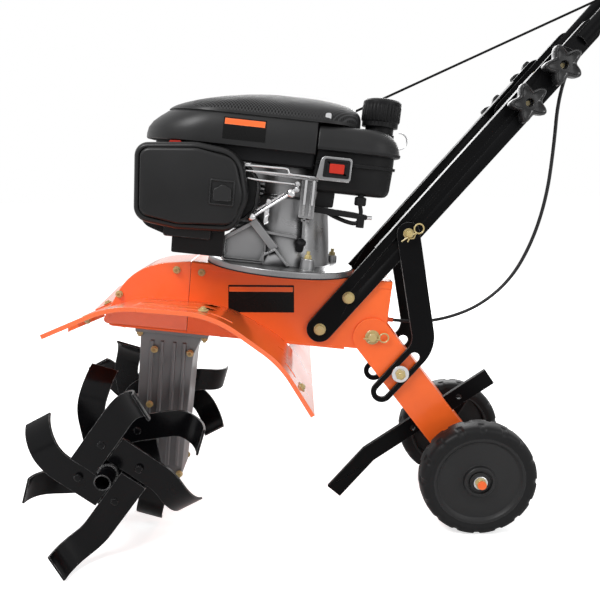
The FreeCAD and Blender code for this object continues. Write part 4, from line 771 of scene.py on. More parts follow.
def bent_line(points: Sequence[Sequence[float]], steps: int) -> np.ndarray:
    """Smooth line through points by Catmull-Rom's cubic, divided evenly.

    Between b and c the point is (2b + (c - a) t + (2a - 5b + 4c - d) t2 + (3b - a - 3c + d) t3) / 2.

    Args:
        points: Points that the line passes.
        steps: Divisions between two points.

    Returns:
        Array of (points, 3).
    """
    knots = np.array(points, float)
    knots = np.vstack([2 * knots[0] - knots[1], knots, 2 * knots[-1] - knots[-2]])
    share = np.linspace(0.0, 1.0, steps, endpoint=False)[:, None]
    pieces = []
    for a, b, c, d in zip(knots, knots[1:], knots[2:], knots[3:]):
        pieces.append(0.5 * (2 * b + (c - a) * share + (2 * a - 5 * b + 4 * c - d) * share ** 2
                             + (3 * b - a - 3 * c + d) * share ** 3))
    return np.vstack([*pieces, knots[-2]])


def along(at: Sequence[float], heading: Sequence[float], spin: float = 0.0) -> Matrix:
    """Matrix that puts a shape's own z on a heading at a point."""
    turn = Vector((0.0, 0.0, 1.0)).rotation_difference(Vector(heading)).to_matrix().to_4x4()
    return Matrix.Translation(Vector(at)) @ turn @ Matrix.Rotation(math.radians(spin), 4, "Z")


@dataclass
class Piece:
    """A new piece: its surfaces, its frame of reference, its body and its finish.

    Attributes:
        name: Object name.
        patches: Surfaces in millimetres of the frame of reference.
        frame: Matrix to the row frame's metres.
        body: Body that it rides on.
        finish: Its finish.
        slot: Material slot of the record; not used.
        stands_for: Frame nodes that it replaces.
        angle: Largest angle shaded smooth, in degrees.
        rounding: Width of a bevel on its edges in millimetres.
        wall: Thickness added inwards to an open skin, in millimetres.
        cutter: Closed surface whose space is cut out of the piece.
        across: Second body and ends of a stretch; only its presence is read: the piece then rides on no body.
    """

    name: str
    patches: list
    frame: Matrix
    body: str
    finish: Finish
    slot: str
    stands_for: tuple = ()
    angle: float = 32.0
    rounding: float = 0.0
    wall: float = 0.0
    cutter: Optional[Patch] = None
    across: tuple = ()

    def build(self) -> bpy.types.Object:
        """Make the object.

        Returns:
            The finished piece, at the origin.
        """
        mesh = mesh_of(self.name, self.patches, self.frame)
        piece = bpy.data.objects.new(self.name, mesh)
        bpy.context.scene.collection.objects.link(piece)
        tidy_mesh(mesh, 1e-6, self.angle)
        if self.cutter:
            carve(piece, self)
        finish_piece(piece, self)
        return piece


def mesh_of(name: str, patches: Sequence[Patch], matrix: Matrix) -> bpy.types.Mesh:
    """One mesh of several surfaces.

    Args:
        name: The mesh's name.
        patches: The surfaces.
        matrix: Matrix that moves them to their place.

    Returns:
        The mesh.
    """
    faces = []
    start = 0
    for patch in patches:
        faces += [[number + start for number in face] for face in patch.faces]
        start += len(patch.points)
    joined = Patch(np.concatenate([patch.points for patch in patches]), faces).moved(matrix)
    mesh = bpy.data.meshes.new(name)
    mesh.from_pydata(joined.points.tolist(), [], joined.faces)
    return mesh


def carve(piece: bpy.types.Object, facts: Piece) -> None:
    """Cut the cutter's space out of a piece, after its wall is made.

    Args:
        piece: The piece.
        facts: Its cutter, sizes and frame of reference.
    """
    mesh = mesh_of("cutter", [facts.cutter], facts.frame)
    tidy_mesh(mesh, 1e-6, facts.angle)
    tool = bpy.data.objects.new("cutter", mesh)
    bpy.context.scene.collection.objects.link(tool)
    if facts.wall > 0.0:
        thicken(piece, facts.wall)
    cut = piece.modifiers.new("cut", "BOOLEAN")
    cut.object = tool
    cut.solver = "EXACT"
    graph = bpy.context.evaluated_depsgraph_get()
    result = bpy.data.meshes.new_from_object(piece.evaluated_get(graph))
    piece.modifiers.clear()
    piece.data = result
    bpy.data.objects.remove(tool)
    tidy_mesh(result, 1e-6, facts.angle)


def thicken(piece: bpy.types.Object, wall: float) -> None:
    """Give an open skin a wall inwards.

    Args:
        piece: The piece.
        wall: The wall's thickness in millimetres.
    """
    solid = piece.modifiers.new("wall", "SOLIDIFY")
    solid.thickness = wall * MM
    solid.offset = -1.0


def tidy_mesh(mesh: bpy.types.Mesh, reach: float, angle: float, flatten: bool = False) -> None:
    """Merge doubled points, turn faces outwards and mark edges sharper than an angle.

    Args:
        mesh: The mesh.
        reach: Distance under which points merge.
        angle: Largest angle shaded smooth, in degrees.
        flatten: Whether faces in one plane are joined.
    """
    work = bmesh.new()
    work.from_mesh(mesh)
    bmesh.ops.remove_doubles(work, verts=work.verts, dist=reach)
    if flatten:
        bmesh.ops.dissolve_limit(work, angle_limit=math.radians(0.6), verts=work.verts, edges=work.edges)
    bmesh.ops.recalc_face_normals(work, faces=work.faces)
    work.to_mesh(mesh)
    work.free()
    mesh.polygons.foreach_set("use_smooth", np.ones(len(mesh.polygons), bool))
    mesh.set_sharp_from_angle(angle=math.radians(angle))


def finish_piece(piece: bpy.types.Object, facts: Piece) -> None:
    """Bevel, dress and place a piece on its body.

    Args:
        piece: The piece.
        facts: Its sizes, finish and body.
    """
    if facts.wall > 0.0 and not facts.cutter:
        thicken(piece, facts.wall)
    if facts.rounding > 0.0:
        bevel = piece.modifiers.new("rounding", "BEVEL")
        bevel.width = facts.rounding * MM
        bevel.segments = 2
        bevel.limit_method = "ANGLE"
        bevel.angle_limit = math.radians(facts.angle)
        bevel.use_clamp_overlap = False
        bevel.harden_normals = True
    WARDROBE.dress(piece, facts.finish)
    if facts.across:
        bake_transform(piece)
    else:
        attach(piece, facts.body)
    if facts.stands_for:
        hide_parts(*facts.stands_for)
    log.info("%s: %d faces", piece.name, len(piece.data.polygons))


WING_DROP = 17.0
WING_INNER, WING_OUTER = 50.0, 204.0
FADE_START, FADE_END = -130.0, 10.0


def wing_drop(place: np.ndarray, level: np.ndarray) -> np.ndarray:
    """Drop of the wings below their outer edge, in millimetres.

    It is full up to the inner level and falls evenly to nothing at the outer one, and it fades out along
    the chassis from the fade's start to its end.

    Args:
        place: x along the chassis.
        level: y to the side.

    Returns:
        The drop at each point.
    """
    inner = 1.0 - np.clip((np.abs(level) - WING_INNER) / (WING_OUTER - WING_INNER), 0.0, 1.0)
    return WING_DROP * inner * np.clip((FADE_END - place) / (FADE_END - FADE_START), 0.0, 1.0)


@dataclass
class Softened:
    """A frame node's own shape, with its facets shaded smooth and its edges broken.

    Attributes:
        node: The frame node.
        finish: Its finish.
        rounding: Width of the broken edges in millimetres.
        drooped: Whether it slopes down towards the middle, as the wings do.
        angle: Largest angle shaded smooth, in degrees.
    """

    node: str
    finish: Finish
    rounding: float = 0.6
    drooped: bool = False
    angle: float = 32.0

    def build(self) -> bpy.types.Object:
        """Make the copy.

        Returns:
            The piece that stands for the node.
        """
        source = frame["nodes"][self.node]
        mesh = source.data.copy()
        mesh.name = f"{self.node}_form"
        piece = bpy.data.objects.new(f"{self.node}_form", mesh)
        bpy.context.scene.collection.objects.link(piece)
        tidy_mesh(mesh, 2e-6, self.angle, flatten=self.rounding > 0.0)
        if self.drooped:
            points = np.empty(3 * len(mesh.vertices), dtype=np.float32)
            mesh.vertices.foreach_get("co", points)
            points = points.reshape(-1, 3)
            up = np.array(CHASSIS.to_3x3() @ Vector((0.0, 0.0, 1.0)))
            back = np.array(CHASSIS.inverted())
            place = points @ back[0, :3] + back[0, 3]
            points -= np.outer(wing_drop(place, points[:, 1] / MM), up)
            mesh.vertices.foreach_set("co", points.ravel())
            mesh.update()
        finish_piece(piece, Piece(piece.name, [], Matrix(), BODY_OF[self.node], self.finish,
                                  SLOT_OF[self.node], (self.node,), self.angle, self.rounding))
        return piece


# ---- studio

@dataclass
class Studio:
    """Camera, soft lamps, floor and surroundings.

    Attributes:
        eye: Camera place in the upright machine's millimetres.
        nod: Camera's downward angle in degrees.
        turn: Camera's turn to the left in degrees.
        lens: Focal length in millimetres.
        sensor: Sensor width in millimetres.
        aim: Point in metres at which the lamps point.
        lamps: Name, place in metres, size in metres and watts of each soft lamp: a key from above the left
            front, a fill from the right and a light behind.
        paper: Colour of the floor.
        glow: The floor's own light, as the lens sees it.
        ambient: Strength of the surroundings' light on the object.
    """

    eye: tuple[float, float, float] = (-2.0, -1081.7, 619.5)
    nod: float = 11.67
    turn: float = -0.13
    lens: float = 36.1
    sensor: float = 36.0
    aim: tuple[float, float, float] = (0.0, 0.0, 0.4)
    lamps: tuple = (("key", (-1.3, -1.2, 2.2), 0.9, 40.0), ("fill", (1.7, -1.7, 1.2), 1.4, 12.0),
                    ("back", (0.2, 2.2, 1.5), 1.8, 44.0))
    paper: float = 0.9
    glow: float = 0.64
    ambient: float = 0.42

    def build(self) -> None:
        """Create everything round the object."""
        bpy.context.scene.view_settings.view_transform = "Standard"
        self.camera()
        for facts in self.lamps:
            self.lamp(*facts)
        self.floor()
        self.surroundings()

    def camera(self) -> None:
        """Camera at its own place and angle, with no shift and no depth of field."""
        data = bpy.data.cameras.new("camera")
        data.lens = self.lens
        data.sensor_width = self.sensor
        data.clip_start = 0.01
        camera = bpy.data.objects.new("camera", data)
        bpy.context.scene.collection.objects.link(camera)
        lean = Matrix.Rotation(math.radians(STANCE.pitch), 4, "Y")
        aim = Euler((math.radians(90.0 - self.nod), 0.0, math.radians(self.turn))).to_matrix().to_4x4()
        camera.matrix_world = Matrix.Translation(MACHINE @ Vector(self.eye)) @ lean @ aim
        bpy.context.scene.camera = camera

    def lamp(self, name: str, place: Sequence[float], size: float, watts: float) -> None:
        """Square soft lamp aimed at the machine's middle.

        Args:
            name: The lamp's name.
            place: Its place in metres.
            size: Its side in metres.
            watts: Its power.
        """
        data = bpy.data.lights.new(name, "AREA")
        data.shape = "SQUARE"
        data.size = size
        data.energy = watts
        lamp = bpy.data.objects.new(name, data)
        bpy.context.scene.collection.objects.link(lamp)
        lamp.location = place
        heading = Vector(self.aim) - lamp.location
        lamp.rotation_euler = heading.to_track_quat("-Z", "Y").to_euler()

    def floor(self) -> None:
        """Plain pale floor that keeps the object's shadow."""
        bpy.ops.mesh.primitive_plane_add(size=30.0)
        floor = bpy.context.object
        floor.name = "floor"
        material = bpy.data.materials.new("floor")
        material.use_nodes = True
        graph = Graph(material.node_tree)
        shader = material.node_tree.nodes["Principled BSDF"]
        graph.feed(shader, Base_Color=rgba([self.paper] * 3), Roughness=0.9)
        shader.inputs["Specular IOR Level"].default_value = 0.0
        seen = graph.add("ShaderNodeLightPath")
        glow = graph.math("MULTIPLY", seen.outputs["Is Camera Ray"], self.glow)
        graph.feed(shader, Emission_Color=(1.0, 1.0, 1.0, 1.0), Emission_Strength=glow)
        floor.data.materials.append(material)

    def surroundings(self) -> None:
        """White surroundings for the lens, gloss and glass, and softer light on the object."""
        world = bpy.data.worlds.new("studio")
        bpy.context.scene.world = world
        world.use_nodes = True
        graph = Graph(world.node_tree)
        background = world.node_tree.nodes["Background"]
        rays = graph.add("ShaderNodeLightPath")
        mirror = graph.math("MAXIMUM", rays.outputs["Is Camera Ray"], rays.outputs["Is Transmission Ray"])
        mirror = graph.math("MAXIMUM", mirror, rays.outputs["Is Glossy Ray"])
        strength = graph.math("MULTIPLY_ADD", mirror, 1.0 - self.ambient, self.ambient)
        graph.feed(background, Color=(1.0, 1.0, 1.0, 1.0), Strength=strength)


# ---- cords

class Lay(Enum):
    """How a cord lies."""

    HANGING = "hanging"
    TAUT = "taut"


@dataclass
class Cords:
    """The sheathed clutch cable and the taut starter rope.

    Attributes:
        cable_route: Points of the cable in the upright machine's millimetres.
        cable_radius: Cable's radius.
        rope_start: Where the rope's line passes the shroud.
        rope_slope: Rope's slope in degrees.
        rope_reach: Distance from there to the pull handle.
        rope_radius: Rope's radius.
    """

    cable_route: tuple = ((169.3, -18, 362.9), (207, -20, 359), (262, -24, 366), (322, -28, 391),
                          (374, -32, 440), (406, -34, 508), (424, -35, 585), (429, -35, 668), (430, -34, 745),
                          (448, -28, 806), (500, -26, 862), (562, -60, 902), (622, -122, 932),
                          (664, -172, 944), (699.9, -200, 948))
    cable_radius: float = 3.0
    rope_start: tuple = (82.9, 14.0, 723.0)
    rope_slope: float = 24.0
    rope_reach: float = 509.0
    rope_radius: float = 2.0

    def build(self) -> None:
        """Make both cords."""
        cable = self.spline("clutch_cable_sheath", [MACHINE @ Vector(point) for point in self.cable_route],
                            self.cable_radius)
        self.declare(cable, "clutch_cable", SHEATH)
        reach = self.rope_reach
        places = self.on_rope((-8.0, 30.0, reach * 0.5, reach - 30.0, reach + 5.0))
        rope = self.spline("starter_cord", [MACHINE @ place for place in places], self.rope_radius)
        self.declare(rope, "starter_rope", ROPE)
        run = tube(np.array(self.on_rope([reach + distance for distance in range(-6, 19, 2)])),
                   self.rope_radius - 0.1, 12)
        ends = [MACHINE @ place for place in self.on_rope((reach + 2.0, reach + 10.0))]
        Piece("starter_rope_run", [run], MACHINE, "machine", ROPE, "cord",
              across=("starter_grip", *ends)).build()

    def on_rope(self, distances: Sequence[float]) -> list:
        """Points on the rope's line.

        Args:
            distances: Distances from the line's start.

        Returns:
            The points in the upright machine's millimetres.
        """
        slope = math.radians(self.rope_slope)
        heading = Vector((math.cos(slope), 0.0, math.sin(slope)))
        return [Vector(self.rope_start) + heading * distance for distance in distances]

    def spline(self, name: str, points: Sequence[Vector], radius: float) -> bpy.types.Object:
        """Round cord along one smooth open spline.

        Args:
            name: Object name.
            points: Control points in metres.
            radius: Cord's radius in millimetres.

        Returns:
            The curve object.
        """
        curve = bpy.data.curves.new(name, "CURVE")
        curve.dimensions = "3D"
        curve.bevel_depth = radius * MM
        curve.bevel_resolution = 4
        curve.resolution_u = 16
        curve.use_fill_caps = True
        spline = curve.splines.new("NURBS")
        spline.points.add(len(points) - 1)
        for point, place in zip(spline.points, points):
            point.co = (*place, 1.0)
        spline.order_u = 3
        spline.use_endpoint_u = True
        piece = bpy.data.objects.new(name, curve)
        bpy.context.scene.collection.objects.link(piece)
        return piece

    def declare(self, piece: bpy.types.Object, node: str, finish: Finish) -> None:
        """Dress a cord and put it in its node's place.

        Args:
            piece: The cord.
            node: The frame node that it replaces.
            finish: Its finish.
        """
        WARDROBE.dress(piece, finish)
        line = piece.data.copy()
        line.bevel_depth = 0.0
        bare = bpy.data.objects.new("bare_line", line)
        path = bpy.data.meshes.new_from_object(bare)
        bpy.data.objects.remove(bare)
        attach(piece, "machine")
        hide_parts(node)


# ---- engine

SIDE = Matrix(((1, 0, 0, 0), (0, 0, -1, 0), (0, 1, 0, 0), (0, 0, 0, 1)))


@dataclass
class EngineCovers:
    """Moulded covers of the engine: blower shroud, tank with its cover, filler cap and air cleaner.

    Sizes are millimetres of the chassis frame.

    Attributes:
        skirt: Levels of the shroud's skirt: height, low x, high x, half width, front and rear corner.
        crown_base: Height where the crown starts.
        crown_rise: Crown's height.
        crown_peak: x of the crown's top.
        crown_front: Crown's length ahead of its top.
        crown_rear: Crown's length behind its top.
        crown_half: Crown's half width at its base.
        tank: Levels of the tank's body.
        cover: Levels of the tank's cover.
        base: Levels of the blower's base under the skirt, dark: its lower housing and painted shade there.
        neck: Place of the filler neck.
        cap_radius: Filler cap's radius.
        filter_line: Corners of the air cleaner seen from the left: x, z, radius.
        panel_line: Corners of its raised panel.
    """

    skirt: tuple = ((197.4, -278.8, 3.6, 122.6, 102.6, 2), (199, -280.2, 3.8, 124, 104, 3),
                    (206, -280, 3.8, 124, 104, 3), (216, -277.4, 3.8, 124, 103.5, 3),
                    (226, -270, 3.8, 123, 101, 3), (235, -259.4, 3.8, 120.4, 98, 3),
                    (241, -250.6, 3.8, 117.6, 94, 3), (244.5, -246, 3.8, 115.4, 92, 3),
                    (245.2, -243, 3.8, 113, 91, 3), (246.6, -243, 3.8, 113, 91, 3))
    crown_base: float = 247.4
    crown_rise: float = 45.0
    crown_peak: float = -60.0
    crown_front: float = 184.6
    crown_rear: float = 134.0
    crown_half: float = 114.6
    tank: tuple = ((141, 10, 121, 98, 3, 34), (142.6, 6, 127, 104, 3, 39),
                   (147, 5, 131, 108.4, 3, 43), (153, 5, 132.6, 109.6, 3, 44),
                   (184.6, 5, 134, 110, 3, 44), (185.2, 5, 137.4, 114, 3, 47),
                   (189.4, 5, 137.6, 114.4, 3, 47.6), (190, 5, 134, 111, 3, 45),
                   (206.5, 5, 134, 111, 3, 45))
    cover: tuple = ((205.4, 5, 140, 118.6, 3, 48), (207, 5, 142.5, 121.4, 3, 51),
                    (211, 5, 142.8, 122.6, 3, 52), (212, 5, 141.4, 122.2, 3, 51),
                    (221, 5, 138.4, 121.8, 3, 50), (230, 5, 133.6, 119.6, 3, 48),
                    (237, 5, 127, 115.6, 3, 45), (242, 5, 120, 110.6, 3, 42),
                    (245, 5, 110, 102, 3, 36))
    base: tuple = ((176, -262, 2, 108, 94, 6), (178, -265, 3, 111, 97, 6),
                   (201, -266, 3.2, 113, 98, 6))
    neck: tuple = (109.0, -24.0)
    cap_radius: float = 33.5
    filter_line: tuple = ((-272, 187, 22), (-178, 197, 60), (-108, 190, 44), (-92, 120, 40), (-112, 66, 26),
                          (-200, 62, 40), (-268, 70, 24))
    panel_line: tuple = ((-261, 180, 16), (-176, 188, 50), (-116, 178, 26), (-100, 124, 36), (-112, 78, 20),
                         (-198, 71, 30), (-258, 80, 18))

    def build(self) -> None:
        """Make every cover."""
        self.shroud()
        self.fuel_tank()
        self.filler_cap()
        self.air_cleaner()

    def crown(self) -> list:
        """Levels of the shroud's crown.

        At height share h the front is at peak - front (1 - h^1.4)^0.72, the rear at
        peak + rear (1 - h^4.2)^0.5, and the half width is half (1 - h^1.9)^0.53.

        Returns:
            Rows of height, low x, high x, half width, front and rear corner radius.
        """
        levels = []
        for share in 1.0 - (1.0 - np.linspace(0.0, 0.985, 26)) ** 1.7:
            front = self.crown_front * (1.0 - share ** 1.4) ** 0.72
            rear = self.crown_rear * (1.0 - share ** 4.2) ** 0.5
            half = self.crown_half * (1.0 - share ** 1.9) ** 0.53
            corner = min(0.8 * half, 0.45 * (front + rear))
            levels.append((self.crown_base + self.crown_rise * share, self.crown_peak - front,
                           self.crown_peak + rear, half, corner, min(0.55 * half, corner)))
        return levels

    def shroud(self) -> None:
        """Skirt and crown as one skin, with the crown reaching back over the tank."""
        skin_patch = stacked([*self.skirt, *self.crown()], open_start=True)
        Piece("shroud_shell", [skin_patch], CHASSIS, "machine", SHROUD, "black_plastic", ("shroud",),
              angle=40.0, wall=2.5).build()
        # The blower's base is a dark closing sheet: partly its lower housing, partly painted shade under the
        # skirt.
        Piece("blower_base", [stacked(self.base)], CHASSIS, "machine", RUBBER, "black_plastic").build()
        guide = [lathe([(0, -6), (9, -6), (9, 2), (7.6, 4.5), (5, 5.4), (0, 5.4)], 28).moved(
            along((62, -22, 274), (0.75, -0.2, 0.6)))]
        guide.append(prism(smooth_outline(((13, 252, 2), (22, 253, 2), (22, 263, 3), (13, 262, 3)), 4), 96,
                           112).moved(SIDE))
        Piece("rope_guide", guide, CHASSIS, "machine", BRIGHT, "bright_steel").build()

    def fuel_tank(self) -> None:
        """Tank body, its rim, its cover and the filler neck, cleared for the flywheel."""
        neck = lathe([(0, 0), (26, 0), (26, 5), (24, 6), (24, 24), (0, 24)], 48)
        neck = neck.moved(Matrix.Translation((*self.neck, 240.0)))
        room = lathe([(0, 100), (94, 100), (94, 260), (0, 260)], 96).moved(Matrix.Translation((-35, 0, 0)))
        Piece("fuel_tank_form", [stacked(self.tank)], CHASSIS, "machine", MOULDED, "black_plastic",
              ("fuel_tank",), angle=40.0, cutter=room).build()
        Piece("tank_cover", [stacked(self.cover)], CHASSIS, "machine", SHROUD, "black_plastic",
              angle=40.0, cutter=room).build()
        Piece("filler_neck", [neck], CHASSIS, "machine", MOULDED, "black_plastic").build()

    def filler_cap(self) -> None:
        """Filler cap with a ribbed grip: radius R + 1.5 |cos 15 t|^0.7 - 0.4 between the rims."""
        outer = self.cap_radius
        heights = np.array([-6, -6, -5, 2, 3, 5, 27, 29, 31, 35, 38, 39.6, 40, 40.0])
        radii = np.array([23, outer - 4, outer - 3, outer - 3, outer - 2.4, outer - 2, outer - 2, outer - 2,
                          outer - 1.4, outer - 1.8, outer - 4.5, outer - 9, outer - 12, 4.0])
        ribbed = np.array([0, 0, 0, 0, 0.3, 1, 1, 0.3, 0, 0, 0, 0, 0, 0.0])
        turn = full_turn(240)
        wave = 1.5 * np.abs(np.cos(15.0 * turn)) ** 0.7 - 0.4
        rings = turned(radii[:, None] + ribbed[:, None] * wave, turn, heights[:, None])
        place = Matrix.Translation((*self.neck, 262.0))
        hollow = lathe([(0, -20), (24.6, -20), (24.6, 3.4), (0, 3.4)]).moved(place)
        Piece("filler_cap", [skin(rings).moved(place)], CHASSIS, "fuel_cap", MOULDED, "black_plastic",
              ("fuel_cap",), angle=36.0, cutter=hollow).build()

    def air_cleaner(self) -> None:
        """Hinged cover: tub, raised panel and square latch; the base's lobe and shelf; the primer tab."""
        steps = [(0, 105.4), (0, 124), (1.6, 126), (1.6, 130), (0, 132), (0, 138), (1.2, 142), (3.6, 145.4),
                 (6.5, 146.6), (8.6, 146.2), (10, 144.6)]
        tub = shell_of(smooth_outline(self.filter_line), steps, open_start=True)
        above = prism([(-300, 193.4), (-80, 193.4), (-80, 230), (-300, 230)], 98, 125.8)
        Piece("air_cleaner_cover", [tub], CHASSIS @ SIDE, "air_filter_cover", COVER, "black_plastic",
              ("air_filter_cover",), angle=40.0, wall=2.6, cutter=above).build()
        panel = shell_of(smooth_outline(self.panel_line),
                         [(0, 138), (0, 147), (0.9, 150), (2.6, 151.6), (5, 152.2)])
        well = smooth_outline(((-152, 145, 3), (-113, 145, 3), (-113, 106, 3), (-152, 106, 3)), 4)
        frame_ring = shell_of(well, [(0, 148), (0, 153.4), (0.8, 154.2), (2.4, 154.2), (3.2, 151.6)])
        ledge = prism(smooth_outline(((-145, 129, 3), (-132, 138, 4), (-119, 133, 4), (-117, 114, 3),
                                      (-145, 113, 3)), 4), 150, 156.4)
        Piece("air_cleaner_panel", [panel], CHASSIS @ SIDE, "air_filter_cover", COVER, "black_plastic",
              angle=40.0).build()
        Piece("air_cleaner_latch", [frame_ring, ledge], CHASSIS @ SIDE, "air_filter_cover", KNOB,
              "black_plastic", angle=40.0, rounding=0.4).build()
        lobe = smooth_outline(((-120, 176, 6), (-98, 172, 18), (-78, 146, 26), (-80, 104, 24), (-100, 82, 14),
                               (-120, 84, 6)))
        shelf = smooth_outline(((-228, 66, 3), (-150, 70, 3), (-150, 46, 5), (-228, 46, 5)), 5)
        parts = [shell_of(lobe, [(0, 92), (0, 116), (1, 118), (3.4, 118.6), (5, 116), (5.4, 110)]),
                 shell_of(shelf, [(0, 84), (0, 108), (1.4, 110), (3, 110)])]
        Piece("air_cleaner_base", parts, CHASSIS @ SIDE, "machine", COVER, "black_plastic",
              angle=40.0).build()
        tab = smooth_outline(((-226, 189, 2), (-204, 191, 2), (-206, 197, 2), (-222, 196, 2)), 4)
        Piece("primer_tab", [prism(tab, 112, 122)], CHASSIS @ SIDE, "machine", RED, "red_plastic").build()


# ---- castings

@dataclass
class EngineCastings:
    """Crankcase on its round flange, with its side frame, struts, bosses and cooling fins.

    Sizes are millimetres of the chassis frame; outlines are seen from the left as x and z.

    Attributes:
        crank_x: x of the crankshaft.
        profile: Radii and heights of the case about the crankshaft.
        side_frame: Outline of the flat side frame ahead of the case.
        side_level: How far the side frame stands out.
        gusset: Outline of the triangular gusset.
        struts: Ends and width of the raised struts: x, z, x, z, width, level.
        bosses: Place, radius and height of the bolt bosses on the flange.
        fin_levels: Heights of the cooling fins.
    """

    crank_x: float = -35.0
    profile: tuple = ((12.6, 0.2), (128.8, 0.2), (130, 1.4), (130, 10.4), (128.4, 12), (90, 12), (86, 14),
                      (84.6, 22), (81.5, 50), (78, 76), (75, 96), (74, 110), (74, 124), (70, 128), (70, 176),
                      (12.6, 176))
    side_frame: tuple = ((-135, 12, 8), (-59, 12, 8), (-62, 60, 10), (-86, 82, 8), (-135, 50, 8))
    side_level: float = 78.0
    gusset: tuple = ((-64, 12, 2), (-64, 29, 3), (-46, 41, 3), (-20, 12, 2))
    struts: tuple = ((-87, 84, -46, 40, 13, 90), (-68, 67, -12, 63, 5, 86), (-1, 62, -3, 98, 5, 88),
                     (-46, 41, -22, 14, 4, 94), (-46, 40, -64, 29, 4, 94), (-133, 49, -86, 80, 6, 86),
                     (-61, 14, -61, 34, 4, 88), (-8, 100, 6, 100, 4, 88), (-8, 92, 6, 92, 4, 88))
    bosses: tuple = ((10, -92, 12, 31), (58, 40, 10, 25), (10, 92, 12, 31), (-117, 78, 11, 24))
    fin_levels: tuple = (70, 78, 86, 94, 102, 110, 118, 126, 134, 142)

    def build(self) -> None:
        """Make the castings, the gasket and the oil plug."""
        centre = Matrix.Translation((self.crank_x, 0.0, 0.0))
        patches = [lathe(self.profile, 128).moved(centre)]
        patches += [self.bar(strut) for strut in self.struts]
        for side in (-1, 1):
            patches += self.flank(side)
        for x, y, radius, height in self.bosses:
            boss = [(0, 8), (radius + 1.5, 8), (radius, 14), (radius - 1, height - 1), (radius - 2, height),
                    (0, height)]
            patches.append(lathe(boss, 28).moved(Matrix.Translation((x, y, 0))))
        Piece("crankcase_form", patches, CHASSIS, "machine", CAST, "cast_aluminium", ("crankcase",),
              angle=34.0, rounding=0.9).build()
        fin = rounded_outline(-150, -44, 58, 10, 10, 6, 3)
        fins = [prism(fin, level, level + 2.6) for level in self.fin_levels]
        fins.append(prism(rounded_outline(-150, -44, 46, 8, 8, 6, 3), 64, 152))
        Piece("cylinder_fins", fins, CHASSIS, "machine", CAST, "cast_aluminium", angle=34.0).build()
        gasket = lathe([(60, 0.1), (130.8, 0.1), (130.8, 1.7), (60, 1.7)], 96).moved(centre)
        Piece("flange_gasket", [gasket], CHASSIS, "machine", RUBBER, "rubber").build()
        plug = lathe([(0, -12), (6, -12), (6, 2), (8, 2), (8, 6), (5, 9), (0, 9)], 24)
        Piece("oil_plug", [plug.moved(along((-4, -86, 52), (0.1, -0.5, 0.86)))], CHASSIS, "machine", RUBBER,
              "rubber").build()

    def bar(self, strut: Sequence[float]) -> Patch:
        """Straight raised bar between two places on the left.

        Args:
            strut: x and z of its start, x and z of its end, its width and how far it stands out.

        Returns:
            The surface.
        """
        x, z, end_x, end_z, width, level = strut
        run = np.array([end_x - x, end_z - z], float)
        side = np.array([-run[1], run[0]]) / np.linalg.norm(run) * width / 2.0
        start = np.array([x, z], float)
        outline = [start - side, start + run - side, start + run + side, start + side]
        return prism(outline, 60, level).moved(SIDE)

    def flank(self, side: int) -> list:
        """Side frame with its recess and the gusset.

        Args:
            side: -1 for the left side, 1 for the right.

        Returns:
            Both surfaces.
        """
        outline = smooth_outline(self.side_frame, 5)
        level = self.side_level
        steps = [(0, 20), (0, level + 6), (0.8, level + 7), (3.4, level + 7), (4.4, level),
                 (4.8, level - 0.6)]
        tri = smooth_outline(self.gusset, 4)
        pair = [shell_of(outline, steps), shell_of(tri, [(0, 40), (0, 90), (0.8, 91), (1.4, 91)])]
        flip = Matrix.Diagonal((1.0, -side, 1.0, 1.0))
        return [patch.moved(flip @ SIDE) for patch in pair]


